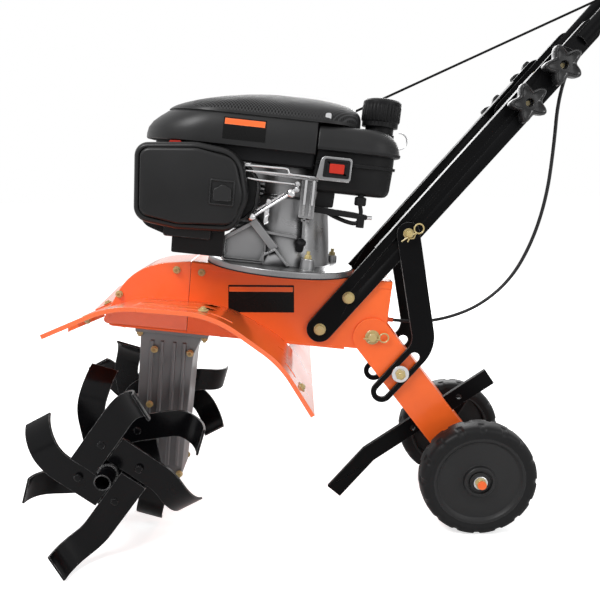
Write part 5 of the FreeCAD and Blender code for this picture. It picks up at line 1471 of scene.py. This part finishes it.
@dataclass
class ControlRods:
    """Bright rods, links and clips beside the air cleaner, and the fuel line. Chassis millimetres.

    Attributes:
        level: y of the rods.
        rods: Rod radius and its points as x and z.
        clip: Outline of the upright clip.
        throttle_low: Lower ball joint of the throttle arm.
        throttle_high: Its upper joint.
        fuel_line: Points of the fuel line.
        loop: Middle and radius of the wire ring at the tank's end.
    """

    level: float = -119.0
    rods: tuple = ((1.9, ((-104, 170), (-88, 171), (-60, 171.4), (-40, 171.6), (-36, 169), (-33, 164.5),
                          (-20, 163.4), (6, 162.6))),
                   (1.5, ((-104, 162), (-88, 162.6), (-60, 163), (-38, 163), (-24, 163))),
                   (1.7, ((-98, 151), (-81, 150), (-50, 149.4), (-23, 149), (-18, 145))),
                   (1.2, ((-62, 112), (-66, 104), (-60, 98), (-66, 92), (-60, 86), (-66, 82))))
    clip: tuple = ((-67, 84, 1), (-61, 84, 1), (-60, 108, 2), (-64, 112, 1), (-67, 108, 1))
    throttle_low: tuple = (-86.0, 91.5)
    throttle_high: tuple = (-28.0, 134.5)
    fuel_line: tuple = ((84, -100, 130), (85, -100, 124), (87, -100, 116), (86, -100, 104), (80, -99, 97),
                        (62, -95, 99), (36, -90, 108), (12, -84, 122), (-6, -80, 130))
    loop: tuple = (139.5, -60.0, 235.0, 13.0)

    def build(self) -> None:
        """Make the rods, the throttle arm, the switch and the fuel line."""
        wires = [tube(bent_line([(x, self.level, z) for x, z in points], 6), radius, 12)
                 for radius, points in self.rods]
        x, y, z, radius = self.loop
        turns = np.radians(np.linspace(-100.0, 100.0, 25))
        ring = np.stack([x + radius * np.cos(turns), np.full(25, y), z + radius * np.sin(turns)], axis=1)
        wires.append(tube(ring, 1.2, 10))
        for x, z in ((-19.5, 150.0), (-20.0, 141.0), (-62.0, 118.0)):
            wires.append(self.joint(x, z, 4.2, 3.6))
        wires.append(prism(smooth_outline(self.clip, 3), 110, 120).moved(SIDE))
        for x in (-6.0, 6.5):
            wires.append(prism(smooth_outline(((x - 1.8, 119, 1.5), (x + 1.8, 119, 1.5), (x + 1.8, 158, 1.5),
                                               (x - 1.8, 158, 1.5)), 4), 117, 122).moved(SIDE))
        Piece("control_rods", wires, CHASSIS, "machine", BRIGHT, "bright_steel").build()
        self.throttle()
        self.switch()
        line = tube(bent_line(self.fuel_line, 8), 3.4, 14)
        tap = lathe([(0, -8), (8, -8), (9.5, -6), (9.5, 4), (7, 6), (5, 6), (5, 14), (0, 14)], 28)
        tap = tap.moved(Matrix.Translation((84, -100, 134)))
        stay = smooth_outline(((12, 116, 3), (41, 118, 3), (42, 144, 4), (14, 142, 4)), 5)
        arm = smooth_outline(((10, 117.5, 2), (74, 114.5, 8), (98, 112, 3), (98, 104, 3), (74, 105, 6),
                              (10, 108, 2)))
        plates = [prism(stay, 84, 98).moved(SIDE), prism(arm, 91, 104).moved(SIDE)]
        clamp = lathe([(0, -10), (6.5, -10), (6.5, 10), (0, 10)], 24)
        clamp = clamp.moved(Matrix.Translation((88, -100, 101)))
        Piece("fuel_line", [line, tap, *plates, clamp], CHASSIS, "machine", MOULDED, "black_plastic",
              ("fuel_valve",)).build()
        clip = [lathe([(0, -9), (3, -9), (3, 9), (0, 9)], 16).moved(along((97, -98, 108), (1, 0, 0)))]
        Piece("fuel_clip", clip, CHASSIS, "machine", BRIGHT, "bright_steel").build()

    def joint(self, x: float, z: float, radius: float, height: float) -> Patch:
        """Round joint or bolt head standing out to the left."""
        profile = [(0, -4), (radius, -4), (radius, height * 0.6), (radius * 0.7, height * 0.95), (0, height)]
        return lathe(profile, 20).moved(along((x, self.level - 2.0, z), (0, -1, 0)))

    def switch(self) -> None:
        """Engine switch: a dark bezel in the bracket's frame and a rocker on its own body."""
        opening = smooth_outline(((18, 165.5, 2), (59, 165.5, 2), (59, 193.5, 3), (19, 193.5, 3)), 4)
        bezel = shell_of(opening, [(0, 120), (0, 125.2), (0.8, 126), (3, 126), (4.4, 124.8)])
        Piece("switch_bezel", [bezel], CHASSIS @ SIDE, "machine", RUBBER, "black_plastic").build()
        key = smooth_outline(((27.5, 172, 1.5), (50.5, 172, 1.5), (50.5, 186.5, 1.5), (27.5, 186.5, 1.5)), 4)
        rocker = shell_of(key, [(0, 120.6), (0, 126.6), (0.8, 127.4)])
        Piece("switch_key", [rocker], CHASSIS @ SIDE, "switch_rocker", RED, "red_plastic",
              ("switch_rocker",)).build()

    def throttle(self) -> None:
        """Throttle arm: a rod with its return spring beside it, between two ball joints."""
        low = np.array([self.throttle_low[0], self.level - 3.0, self.throttle_low[1]])
        high = np.array([self.throttle_high[0], self.level - 3.0, self.throttle_high[1]])
        run = high - low
        up = np.array([-run[2], 0.0, run[0]]) / np.linalg.norm(run)
        parts = [tube(np.array([low, low + run / 2, high]), 2.5, 14)]
        turn = np.linspace(0.0, 2.0 * np.pi * 22, 22 * 12)
        share = np.linspace(0.16, 0.86, len(turn))[:, None]
        coil = low + run * share + up * (5.6 + 1.9 * np.cos(turn))[:, None]
        coil[:, 1] += 1.9 * np.sin(turn)
        parts.append(tube(coil, 0.55, 6))
        for place, radius in ((low, 6.2), (high, 6.8)):
            ball = [(0, -3), (radius * 0.8, -3), (radius, -1), (radius, 1.5), (radius * 0.78, 3.6),
                    (radius * 0.4, 4.8), (0, 5.2)]
            parts.append(lathe(ball, 28).moved(along(tuple(place), (0, -1, 0))))
        pin = lathe([(0, 0), (3, 0), (3, 46), (0, 46)], 20)
        parts.append(pin.moved(along((-27, -116, 135), (0, 1, 0))))
        Piece("throttle_arm", parts, CHASSIS, "throttle_lever", BRIGHT, "bright_steel",
              ("throttle_lever",)).build()


# ---- running gear

@dataclass
class Wheels:
    """Solid tyres with blocky tread on dished rims.

    Attributes:
        track: y of a wheel's middle, in the upright machine's millimetres.
        radius: Tyre's radius.
        lugs: Tread blocks on each shoulder.
        depth: Depth of the grooves between them.
    """

    track: float = 109.0
    radius: float = 101.5
    lugs: int = 16
    depth: float = 1.8

    def build(self) -> None:
        """Make both wheels."""
        for body, sign in (("wheel_left", -1), ("wheel_right", 1)):
            place = along((STANCE.axle_x, sign * self.track, STANCE.axle_z), (0, sign, 0))
            Piece(f"{body}_tyre", [self.tyre().moved(place)], MACHINE, body, TYRE, "tyre", (body,),
                  angle=50.0).build()
            Piece(f"{body}_rim", [patch.moved(place) for patch in self.rim()], MACHINE, body, RIM,
                  "black_plastic", angle=34.0, rounding=0.5).build()

    def tyre(self) -> Patch:
        """Tyre skin: rings of the section turned about the axle, with grooves cut into the shoulders.

        A ring point at turn t and height h loses depth x step(cos(n t + pi [h > 0])) x fade(|h|, r).

        Returns:
            The surface.
        """
        section = np.array([(79, -20.5), (83, -21), (86, -22.4), (90, -23), (93.5, -22.6), (96.5, -21.2),
                            (98.6, -18.8), (100, -15.8), (100.8, -12.5), (101.3, -9), (101.5, -6),
                            (101.5, -4), (101.5, -2), (101.5, 0)], float)
        section = np.vstack([section, section[-2::-1] * (1, -1)])
        turn = full_turn(self.lugs * 24)
        radius, height = section[:, :1], section[:, 1:]
        wave = np.cos(self.lugs * turn + np.pi * (height > 0.0))
        groove = np.clip((-0.62 - wave) / 0.16, 0.0, 1.0)
        reach = np.clip((np.abs(height) - 4.5) / 2.0, 0.0, 1.0) * np.clip((radius - 89.0) / 5.0, 0.0, 1.0)
        cut = self.depth * groove * reach
        return skin(turned(radius - cut, turn, height - np.sign(height) * cut * 0.45), closed=True)

    def rim(self) -> list:
        """Dished disc with its hub outside and six ribs inside, heights outwards.

        Returns:
            The surfaces.
        """
        disc = [(7.6, 22), (12.5, 22), (13.5, 21), (17.5, 21), (18, 18), (21, 18), (21.5, 22), (26, 22),
                (27.5, 20.5), (28, 14), (30, 13), (48, 14.6), (66, 15.4), (70, 15), (72.5, 16.6), (75, 19.6),
                (79.5, 20.4), (80.4, 19), (80.4, -19), (77, -20), (75, -18), (73, -2), (30, 2), (28, -21),
                (26, -22), (7.6, -22)]
        rib = prism([(24, -1.6), (76, -1.6), (76, 1.6), (24, 1.6)], -15, 4)
        ribs = [rib.moved(Matrix.Rotation(index * math.pi / 3.0, 4, "Z")) for index in range(6)]
        return [lathe(disc, 120, closed=True), *ribs]


def hex_head(flat: float, height: float) -> Patch:
    """Hexagon head on z = 0 with its corners turned down to a circle at the top.

    The hexagon's edge lies at flat / cos of the turn past the nearest flat.

    Args:
        flat: Half the width across flats.
        height: Head's height.

    Returns:
        The surface.
    """
    turn = full_turn(48)
    corner = flat / np.cos((turn + np.pi / 6.0) % (np.pi / 3.0) - np.pi / 6.0)
    levels = [(0.0, np.inf), (0.66 * height, np.inf), (0.82 * height, 1.08), (height, 0.96), (height, 0.5)]
    rings = [turned(np.minimum(corner, flat * limit), turn, level) for level, limit in levels]
    return skin(np.array(rings))


def bolt(at: Sequence[float], outward: Sequence[float], flat: float, height: float, shank: float = 3.0,
         washer: float = 0.0, stud: float = 0.0, depth: float = 8.0, spin: float = 12.0) -> list:
    """Hex bolt or nut seen from outside.

    Args:
        at: Seat of its head.
        outward: Direction in which the head points.
        flat: Half the width across flats.
        height: Head's height.
        shank: Shank's radius.
        washer: Radius of the washer or flange under the head.
        stud: How far the thread stands out of the head.
        depth: Length of the shank inwards.
        spin: Turn of the hexagon in degrees.

    Returns:
        Its surfaces.
    """
    place = along(at, outward, spin)
    rise = 1.4 if washer else 0.0
    parts = [hex_head(flat, height).moved(place @ Matrix.Translation((0, 0, rise)))]
    top = rise + height + stud
    thread = [(0, -depth), (shank, -depth), (shank, top - 0.6), (shank - 0.7, top), (0, top)]
    parts.append(lathe(thread, 20).moved(place))
    if washer:
        ring = [(0, -0.05), (washer, -0.05), (washer, 0.9), (washer - 0.5, rise), (0, rise)]
        parts.append(lathe(ring, 36).moved(place))
    return parts


@dataclass
class Hardware:
    """Bolts, nuts, pins, clips and rivets.

    Attributes:
        side_bolts: x and z of the housing's side bolts, in the chassis frame.
        side_level: y of their seats.
        gear_bolts: x and z of the gearbox's bolts.
        gear_level: y of their seats.
        leg_bolts: x and y of the studs under the housing.
        leg_level: z of their seats.
        pan_bolts: x and y of the pan's bolts.
        pan_level: z of their seats.
        fender_bolts: x, y and z, slope in degrees and grip of the fenders' bolts.
        handle_at: Origin of the lower handle in the upright machine's side view.
        handle_angle: Its rise in degrees.
        handle_bolts: Places of its bolts along it.
        knob_bolts: Places of the star knobs' bolts along it.
        tine_axis: x and z of the tines' axis in the chassis frame.
    """

    side_bolts: tuple = ((-212, -18), (-169, -18), (-309, -71))
    side_level: float = 51.6
    gear_bolts: tuple = ((-245, -168), (-181, -169), (-248, -273), (-185, -406))
    gear_level: float = 40.0
    leg_bolts: tuple = ((-273, 39), (-157, 39))
    leg_level: float = -137.0
    pan_bolts: tuple = ((-303, 30), (-127, 30))
    pan_level: float = -130.0
    fender_bolts: tuple = ((-362, 62, -100.38, 28.96, 4), (-145, 170, -52.4, 1.1, 2),
                           (20, 170, -164.86, -53.25, 2))
    handle_at: tuple = (35.0, 355.0)
    handle_angle: float = 48.8
    handle_bolts: tuple = (0.0, 75.3)
    knob_bolts: tuple = (503.0, 579.0)
    tine_axis: tuple = (-275.0, -336.0)

    def build(self) -> None:
        """Make every fastener."""
        self.small_bolts()
        self.big_bolts()
        self.pins()
        self.arm_bolt()
        self.rivets()

    def small_bolts(self) -> None:
        """Bolts of the housing, gearbox, pan, fenders and engine."""
        parts = []
        for sign in (-1, 1):
            for x, z in self.side_bolts:
                parts += bolt((x, sign * self.side_level, z), (0, sign, 0), 4.6, 3.6, washer=6.6)
            for x, z in self.gear_bolts:
                parts += bolt((x, sign * self.gear_level, z), (0, sign, 0), 4.8, 3.8, washer=6.6)
            for x, y in self.leg_bolts:
                parts += bolt((x, sign * y, self.leg_level), (0, 0, -1), 5.4, 4.6, washer=7.0, stud=3.5)
            for x, y in self.pan_bolts:
                parts += bolt((x, sign * y, self.pan_level), (0, 0, -1), 4.6, 3.6, washer=6.6)
            for x, y, z, slope, grip in self.fender_bolts:
                angle = math.radians(slope)
                down = Vector((math.sin(angle), 0.0, -math.cos(angle)))
                head = Vector((x, sign * y, z - float(wing_drop(x, y))))
                parts += bolt(tuple(head), tuple(-down), 4.6, 3.0, washer=8.5)
                parts += bolt(tuple(head + down * grip), tuple(down), 4.6, 3.6, washer=6.6, stud=2.5)
        for x, y, _, height in EngineCastings.bosses:
            parts += bolt((x, y, height), (0, 0, 1), 5.0, 4.6, washer=6.8, stud=6.0)
        Piece("small_bolts", parts, CHASSIS, "machine", ZINC, "zinc_steel", ("chassis_bolts",),
              angle=30.0).build()

    def on_handle(self, distance: float, level: float) -> tuple:
        """Point of the upright machine on the lower handle.

        Args:
            distance: Distance up the handle.
            level: y of the point.

        Returns:
            The point.
        """
        angle = math.radians(self.handle_angle)
        return (self.handle_at[0] + distance * math.cos(angle), level,
                self.handle_at[1] + distance * math.sin(angle))

    def big_bolts(self) -> None:
        """Domed flange nuts of the lower handles, and the carriage bolts of the star knobs."""
        parts = []
        for sign in (-1, 1):
            for distance in self.handle_bolts:
                parts += bolt(self.on_handle(distance, sign * 56.6), (0, sign, 0), 8.2, 5.2, 5.0, washer=10.6,
                              stud=1.2, depth=12, spin=8)
            for distance in self.knob_bolts:
                at = self.on_handle(distance, sign * 37)
                head = lathe([(0, 0), (9, 0), (9, 1), (6, 2.6), (0, 3)], 28)
                neck = lathe([(0, 0), (3.95, 0), (3.95, 35), (0, 35)], 20)
                parts += [head.moved(along(at, (0, -sign, 0))), neck.moved(along(at, (0, sign, 0)))]
        Piece("handle_bolt_heads", parts, MACHINE, "machine", ZINC, "zinc_steel", ("handle_bolts",),
              angle=30.0).build()

    def pins(self) -> None:
        """Pivot and link pins with chamfered ends, washers and spring clips."""
        parts = []
        for x, z, radius, half, collar, size in ((128, 340, 8, 62, 53.9, 13), (184, 523.5, 6, 74, 62.1, 9)):
            ends = [(0, -half), (radius - 1.6, -half), (radius, -half + 1.6), (radius, half - 1.6),
                    (radius - 1.6, half), (0, half)]
            parts.append(lathe(ends, 32).moved(along((x, 0, z), (0, 1, 0))))
            for sign in (-1, 1):
                ring = [(radius - 0.5, 0), (size, 0), (size, 1.5), (size - 0.6, 2), (radius - 0.5, 2)]
                parts.append(lathe(ring, 36, closed=True).moved(along((x, sign * collar, z), (0, sign, 0))))
        Piece("pivot_pins", parts, MACHINE, "machine", ZINC, "zinc_steel", ("arm_pins",), angle=30.0).build()
        clips = [self.clip((148, -59.6, 340), 0.0), self.clip((200, -70, 532.5), -35.0)]
        Piece("spring_clips", clips, MACHINE, "machine", ZINC, "zinc_steel").build()

    def clip(self, at: Sequence[float], turn: float) -> Patch:
        """Spring clip: a straight leg, a full ring of radius 8 and a waved second leg.

        Args:
            at: Middle of its ring.
            turn: Its turn about y in degrees.

        Returns:
            The surface.
        """
        sweep = np.linspace(np.radians(200), np.radians(-150), 40)
        ring = np.stack([8 * np.cos(sweep), 0.9 * np.linspace(-1, 1, 40), 8 * np.sin(sweep)], axis=-1)
        leg = np.array([[-36, -0.9, -1.0], [-22, -0.9, -1.4], [-12, -0.9, -2.4]])
        wave = np.array([[-11, 0.9, -5.2], [-16, 0.9, -8.4], [-22, 0.9, -5.0], [-28, 0.9, -8.0]])
        path = bent_line(np.vstack([leg, ring, wave]), 3)
        place = Matrix.Translation(Vector(at)) @ Matrix.Rotation(math.radians(turn), 4, "Y")
        return tube(path, 1.3, 10).moved(place)

    def arm_bolt(self) -> None:
        """Bolt in the links' slots with its bright washers, and the nuts of the axle."""
        parts = []
        washers = []
        slot_ring = lathe([(5.1, -2), (15.5, -2), (15.5, -0.6), (15, 0), (5.1, 0)], 40, closed=True)
        axle_ring = lathe([(7.6, 0), (12, 0), (12, 2), (11.4, 2.4), (7.6, 2.4)], 36, closed=True)
        for sign in (-1, 1):
            outward = (0, sign, 0)
            slot = (178.5, sign * 64.1, 274.5)
            parts += bolt(slot, outward, 8.2, 6.2, 5.0, stud=2.0, depth=64, spin=14)
            axle_end = (STANCE.axle_x, sign * 133.4, STANCE.axle_z)
            parts += bolt(axle_end, outward, 8.6, 6.0, 7.55, depth=2, spin=20)
            washers.append(slot_ring.moved(along(slot, outward)))
            washers.append(axle_ring.moved(along((STANCE.axle_x, sign * 131.2, STANCE.axle_z), outward)))
        Piece("arm_bolt_heads", parts, MACHINE, "wheel_arm", ZINC, "zinc_steel", ("arm_fasteners",),
              angle=30.0).build()
        Piece("arm_washers", washers, MACHINE, "wheel_arm", BRIGHT, "bright_steel").build()

    def rivets(self) -> None:
        """Rivets through the tine sets and the weld beads round the hub tubes."""
        centre = CHASSIS @ Vector((self.tine_axis[0], 0.0, self.tine_axis[1]))
        upright = MACHINE.inverted() @ centre
        parts = []
        dome = lathe([(0, -11), (6.6, -11), (6.6, 0.4), (5.6, 1.8), (3.4, 2.7), (0, 3)], 24)
        turn = full_turn(72)
        bead = tube(turned(15.0, turn, 0.5 * np.cos(20 * turn)), 2.4, 8, closed=True)
        for level, first in ((186, 98.7), (110, 53.7)):
            for sign in (-1, 1):
                at = Vector((upright.x, sign * (level + 4.0), upright.z))
                for index in range(4):
                    angle = math.radians(first + 90 * index)
                    place = at + Vector((math.cos(angle), 0.0, math.sin(angle))) * 50.0
                    parts.append(dome.moved(along(tuple(place), (0, sign, 0))))
                parts.append(bead.moved(along(tuple(at), (0, sign, 0))))
        Piece("tine_rivets", parts, MACHINE, "tines", TINE_PAINT, "black_paint").build()


@dataclass
class Panels:
    """Blank label panels, without any text, on the housing and the shroud.

    Attributes:
        housing: Corners of the panel on the housing's left side, in the chassis frame's x and z.
        band: Corners of the coloured band on it.
        shroud: Edges of the shroud's panel and of its band, and how far each stands out.
    """

    housing: tuple = ((-121.4, -35, 1.5), (-117.4, -83.4, 1.5), (-2.4, -72.2, 1.5), (-7.8, -23.9, 1.5))
    band: tuple = ((-119.6, -38.0, 1), (-119.0, -46.6, 1), (-8.4, -35.8, 1), (-9.2, -27.2, 1))
    shroud: tuple = (((-142, -76, 207, 240), 0.5), ((-140, -78, 229, 238), 0.8))

    def build(self) -> None:
        """Make the panels."""
        flat = [prism(smooth_outline(corners, 4), low, high).moved(SIDE)
                for corners, low, high in ((self.housing, 49.9, 50.5), (self.band, 50.4, 50.7))]
        curved = [self.wrapped(edges, lift) for edges, lift in self.shroud]
        for name, (panel, band) in (("housing_panel", flat), ("shroud_panel", curved)):
            Piece(name, [panel], CHASSIS, "machine", LABEL, "black_plastic").build()
            Piece(f"{name}_band", [band], CHASSIS, "machine", ORANGE, "orange_paint").build()

    def wrapped(self, edges: Sequence[float], lift: float) -> Patch:
        """Thin panel that follows the shroud's side.

        Args:
            edges: x of its front and rear edge, and z of its lower and upper edge.
            lift: How far it stands out of the shroud.

        Returns:
            The surface.
        """
        low_x, high_x, low, high = edges
        skirt = np.array([level[:4] for level in EngineCovers.skirt])
        rings = []
        for height in np.linspace(low, high, 10):
            side = float(np.interp(height, skirt[:, 0], skirt[:, 3]))
            rings.append([(low_x, -side - lift, height), (high_x, -side - lift, height),
                          (high_x, -side + 1.0, height), (low_x, -side + 1.0, height)])
        return skin(np.array(rings))


# ---- tines and knobs

@dataclass(frozen=True)
class Blade:
    """One tine: a strip that runs straight, turns in its plane and then bends out of it.

    Attributes:
        width: Strip's width.
        offset: Distance of its middle from the tine's radius.
        turn: Angle of the turn in its plane, in degrees.
        turn_at: Distance along the strip of the middle of that turn.
        turn_run: Length over which it turns.
        bend_at: Distance along the turned heading where the bend starts.
        radius: Radius of the bend.
        length: Strip's length from the axis.
        gauge: Strip's thickness.
    """

    width: float = 47.0
    offset: float = 39.5
    turn: float = 25.6
    turn_at: float = 112.0
    turn_run: float = 52.0
    bend_at: float = 68.7
    radius: float = 61.0
    length: float = 188.0
    gauge: float = 4.0

    def patch(self) -> Patch:
        """Skin of the strip.

        The middle line's heading is -turn x smoothstep, summed step by step. A point whose distance p along
        the turned heading is past the bend's start moves to start + R sin a and rises by radius - R cos a,
        with a = (p - start) / radius and R the radius less the height in the strip.

        Returns:
            The surface.
        """
        steps = np.linspace(-0.3 * self.width, self.length, 90)
        share = np.clip((steps - self.turn_at) / self.turn_run + 0.5, 0.0, 1.0)
        heading = -math.radians(self.turn) * share * share * (3.0 - 2.0 * share)
        stride = np.diff(steps, prepend=steps[0])
        line_x = steps[0] + np.cumsum(np.cos(heading) * stride)
        line_y = self.offset + np.cumsum(np.sin(heading) * stride)
        across = np.linspace(-0.5, 0.5, 9) * self.width
        flat_x = line_x[:, None] - np.sin(heading)[:, None] * across
        flat_y = line_y[:, None] + np.cos(heading)[:, None] * across
        sides = [self.bent(flat_x, flat_y, 0.0), self.bent(flat_x, flat_y, self.gauge)[:, ::-1]]
        return skin(np.concatenate(sides, axis=1))

    def bent(self, flat_x: np.ndarray, flat_y: np.ndarray, height: float) -> np.ndarray:
        """Places of the flat strip's points after the bend.

        Args:
            flat_x: x of the flat points.
            flat_y: y of the flat points.
            height: Their height in the strip.

        Returns:
            Array of (rows, columns, 3).
        """
        cos, sin = math.cos(math.radians(self.turn)), math.sin(math.radians(self.turn))
        ahead = flat_x * cos - flat_y * sin
        beside = flat_x * sin + flat_y * cos
        angle = np.maximum(ahead - self.bend_at, 0.0) / self.radius
        reach = self.radius - height
        ahead = np.minimum(ahead, self.bend_at) + reach * np.sin(angle)
        rise = self.radius - reach * np.cos(angle)
        return np.stack([ahead * cos + beside * sin, beside * cos - ahead * sin, rise], axis=-1)


@dataclass
class Tines:
    """Four sets of four tines: two of a set bend outwards, two inwards.

    Attributes:
        axis: x and z of the tines' axis in the chassis frame.
        sets: Node, side of the machine, level and first heading in degrees.
        outward: The blade that bends outwards.
        inward: The blade that bends inwards.
    """

    axis: tuple = (-275.0, -336.0)
    sets: tuple = (("outer_tines_left", -1, 186, 53.7), ("outer_tines_right", 1, 186, 53.7),
                   ("inner_tines_left", -1, 110, 8.7), ("inner_tines_right", 1, 110, 8.7))
    outward: Blade = Blade()
    inward: Blade = Blade(turn_at=84.0, bend_at=72.0, length=166.0, radius=60.0)

    def build(self) -> None:
        """Make the four sets."""
        upright = MACHINE.inverted() @ CHASSIS @ Vector((self.axis[0], 0.0, self.axis[1]))
        for node, side, level, first in self.sets:
            patches = []
            for index in range(4):
                outward = index % 2 == 0
                blade = self.outward if outward else self.inward
                bend = side if outward else -side
                stand = Matrix(((1, 0, 0, 0), (0, 0, bend, 0), (0, 1, 0, 0), (0, 0, 0, 1)))
                spin = Matrix.Rotation(-math.radians(first + 90.0 * index), 4, "Y")
                shift = Matrix.Translation((upright.x, side * level, upright.z))
                patches.append(blade.patch().moved(shift @ spin @ stand))
            Piece(f"{node}_form", patches, MACHINE, "tines", TINE_PAINT, "black_paint", (node,),
                  angle=34.0, rounding=0.5).build()


@dataclass
class StarKnobs:
    """Five-lobed clamping knobs of the handle.

    Attributes:
        level: y of their seat.
        tip: Radius of a lobe's tip.
        dip: Radius between two lobes.
        first: Heading of the first lobe in degrees.
    """

    level: float = 56.9
    tip: float = 32.0
    dip: float = 20.0
    first: float = 41.0

    def build(self) -> None:
        """Make the four knobs."""
        hardware = Hardware()
        for name, distance in zip(("lower", "upper"), hardware.knob_bolts):
            for side, sign in (("left", -1), ("right", 1)):
                node = f"star_knob_{side}_{name}"
                place = along(hardware.on_handle(distance, sign * self.level), (0, sign, 0))
                Piece(f"{node}_form", [patch.moved(place) for patch in self.form()], MACHINE, node, KNOB,
                      "black_plastic", (node,), angle=40.0).build()

    def form(self) -> list:
        """Hub and star.

        The star's radius is mean + half (tip - dip) (w - 0.12 (1 - w^2)) with w = cos 5t. It is rounded over
        at the rim and dished inside.

        Returns:
            The surfaces.
        """
        turn = full_turn(200)
        wave = np.cos(5.0 * (turn - math.radians(self.first)))
        edge = (self.tip + self.dip) / 2.0 + (self.tip - self.dip) / 2.0 * (wave - 0.12 * (1.0 - wave ** 2))
        levels = [(9, -6), (9, -2), (10, -0.5), (13, 0), (22, 0), (24.5, -0.5), (26.4, -1.6), (27.8, -3.4),
                  (27.8, -4.6), (26.2, -6.2), (25.2, -8.2)]
        rings = [turned(edge + move, turn, height) for height, move in levels]
        hole = [(13.0, 25.0), (11.0, 25.4), (7.4, 25.4), (6.6, 24.6), (6.4, 14.0)]
        rings += [turned(radius, turn, height) for radius, height in hole]
        return [skin(np.array(rings)), lathe([(0, 0), (15, 0), (15, 10), (0, 10)], 40)]


# ---- carried-over nodes

class FramePieces:
    """Finishes of the pieces that keep their own shape from the frame. A pair's sides share one entry.

    Attributes:
        SPECIAL: Nodes whose finish isn't that of their slot.
        SOFTENED: Nodes whose facets are smoothed, with the width of their broken edges in millimetres.
        DROOPED: Softened nodes that slope as the wings do.
    """

    SPECIAL = {"outer_tines": TINE_PAINT, "inner_tines": TINE_PAINT, "tine_hubs": TINE_PAINT,
               "wheel_axle": ORANGE, "control_bracket": CAST, "gearbox": GEAR_CAST, "fender": FENDER,
               "nose_cover": FENDER}

    SOFTENED = {"belt_housing": 0.8, "engine_plate": 0.5, "nose_cover": 1.6, "housing_pan": 0.8,
                "front_bracket": 0.5, "fender": 0.5, "gearbox": 1.4, "tine_hubs": 0.5,
                "control_bracket": 0.4, "lower_handle": 0.0, "height_links": 0.0, "upper_handle": 0.4,
                "grips": 1.2, "clutch_lever": 0.5, "wheel_arm": 0.6, "depth_stake": 0.8,
                "starter_grip": 1.5, "cylinder_head": 0.5, "muffler": 1.5, "carburettor": 0.6}

    DROOPED = ("fender", "front_bracket")

    def build(self) -> None:
        """Dress every node by its material slot or its own finish, and soften those that show."""
        for name, piece in frame["nodes"].items():
            kind = name.removesuffix("_left").removesuffix("_right")
            finish = self.SPECIAL.get(kind) or SLOT_FINISH[SLOT_OF[name]]
            WARDROBE.dress(piece, finish)
            if kind in self.SOFTENED:
                Softened(name, finish, self.SOFTENED[kind], kind in self.DROOPED).build()
        log.info("dressed %d nodes", len(frame["nodes"]))


def main() -> None:
    """Build the studio and every piece in order."""
    logging.basicConfig(level=logging.INFO, format="%(name)s: %(message)s")
    Studio().build()
    Cords().build()
    FramePieces().build()
    EngineCovers().build()
    EngineCastings().build()
    ControlRods().build()
    Tines().build()
    StarKnobs().build()
    Wheels().build()
    Hardware().build()
    Panels().build()


if __name__ == "__main__":
    main()
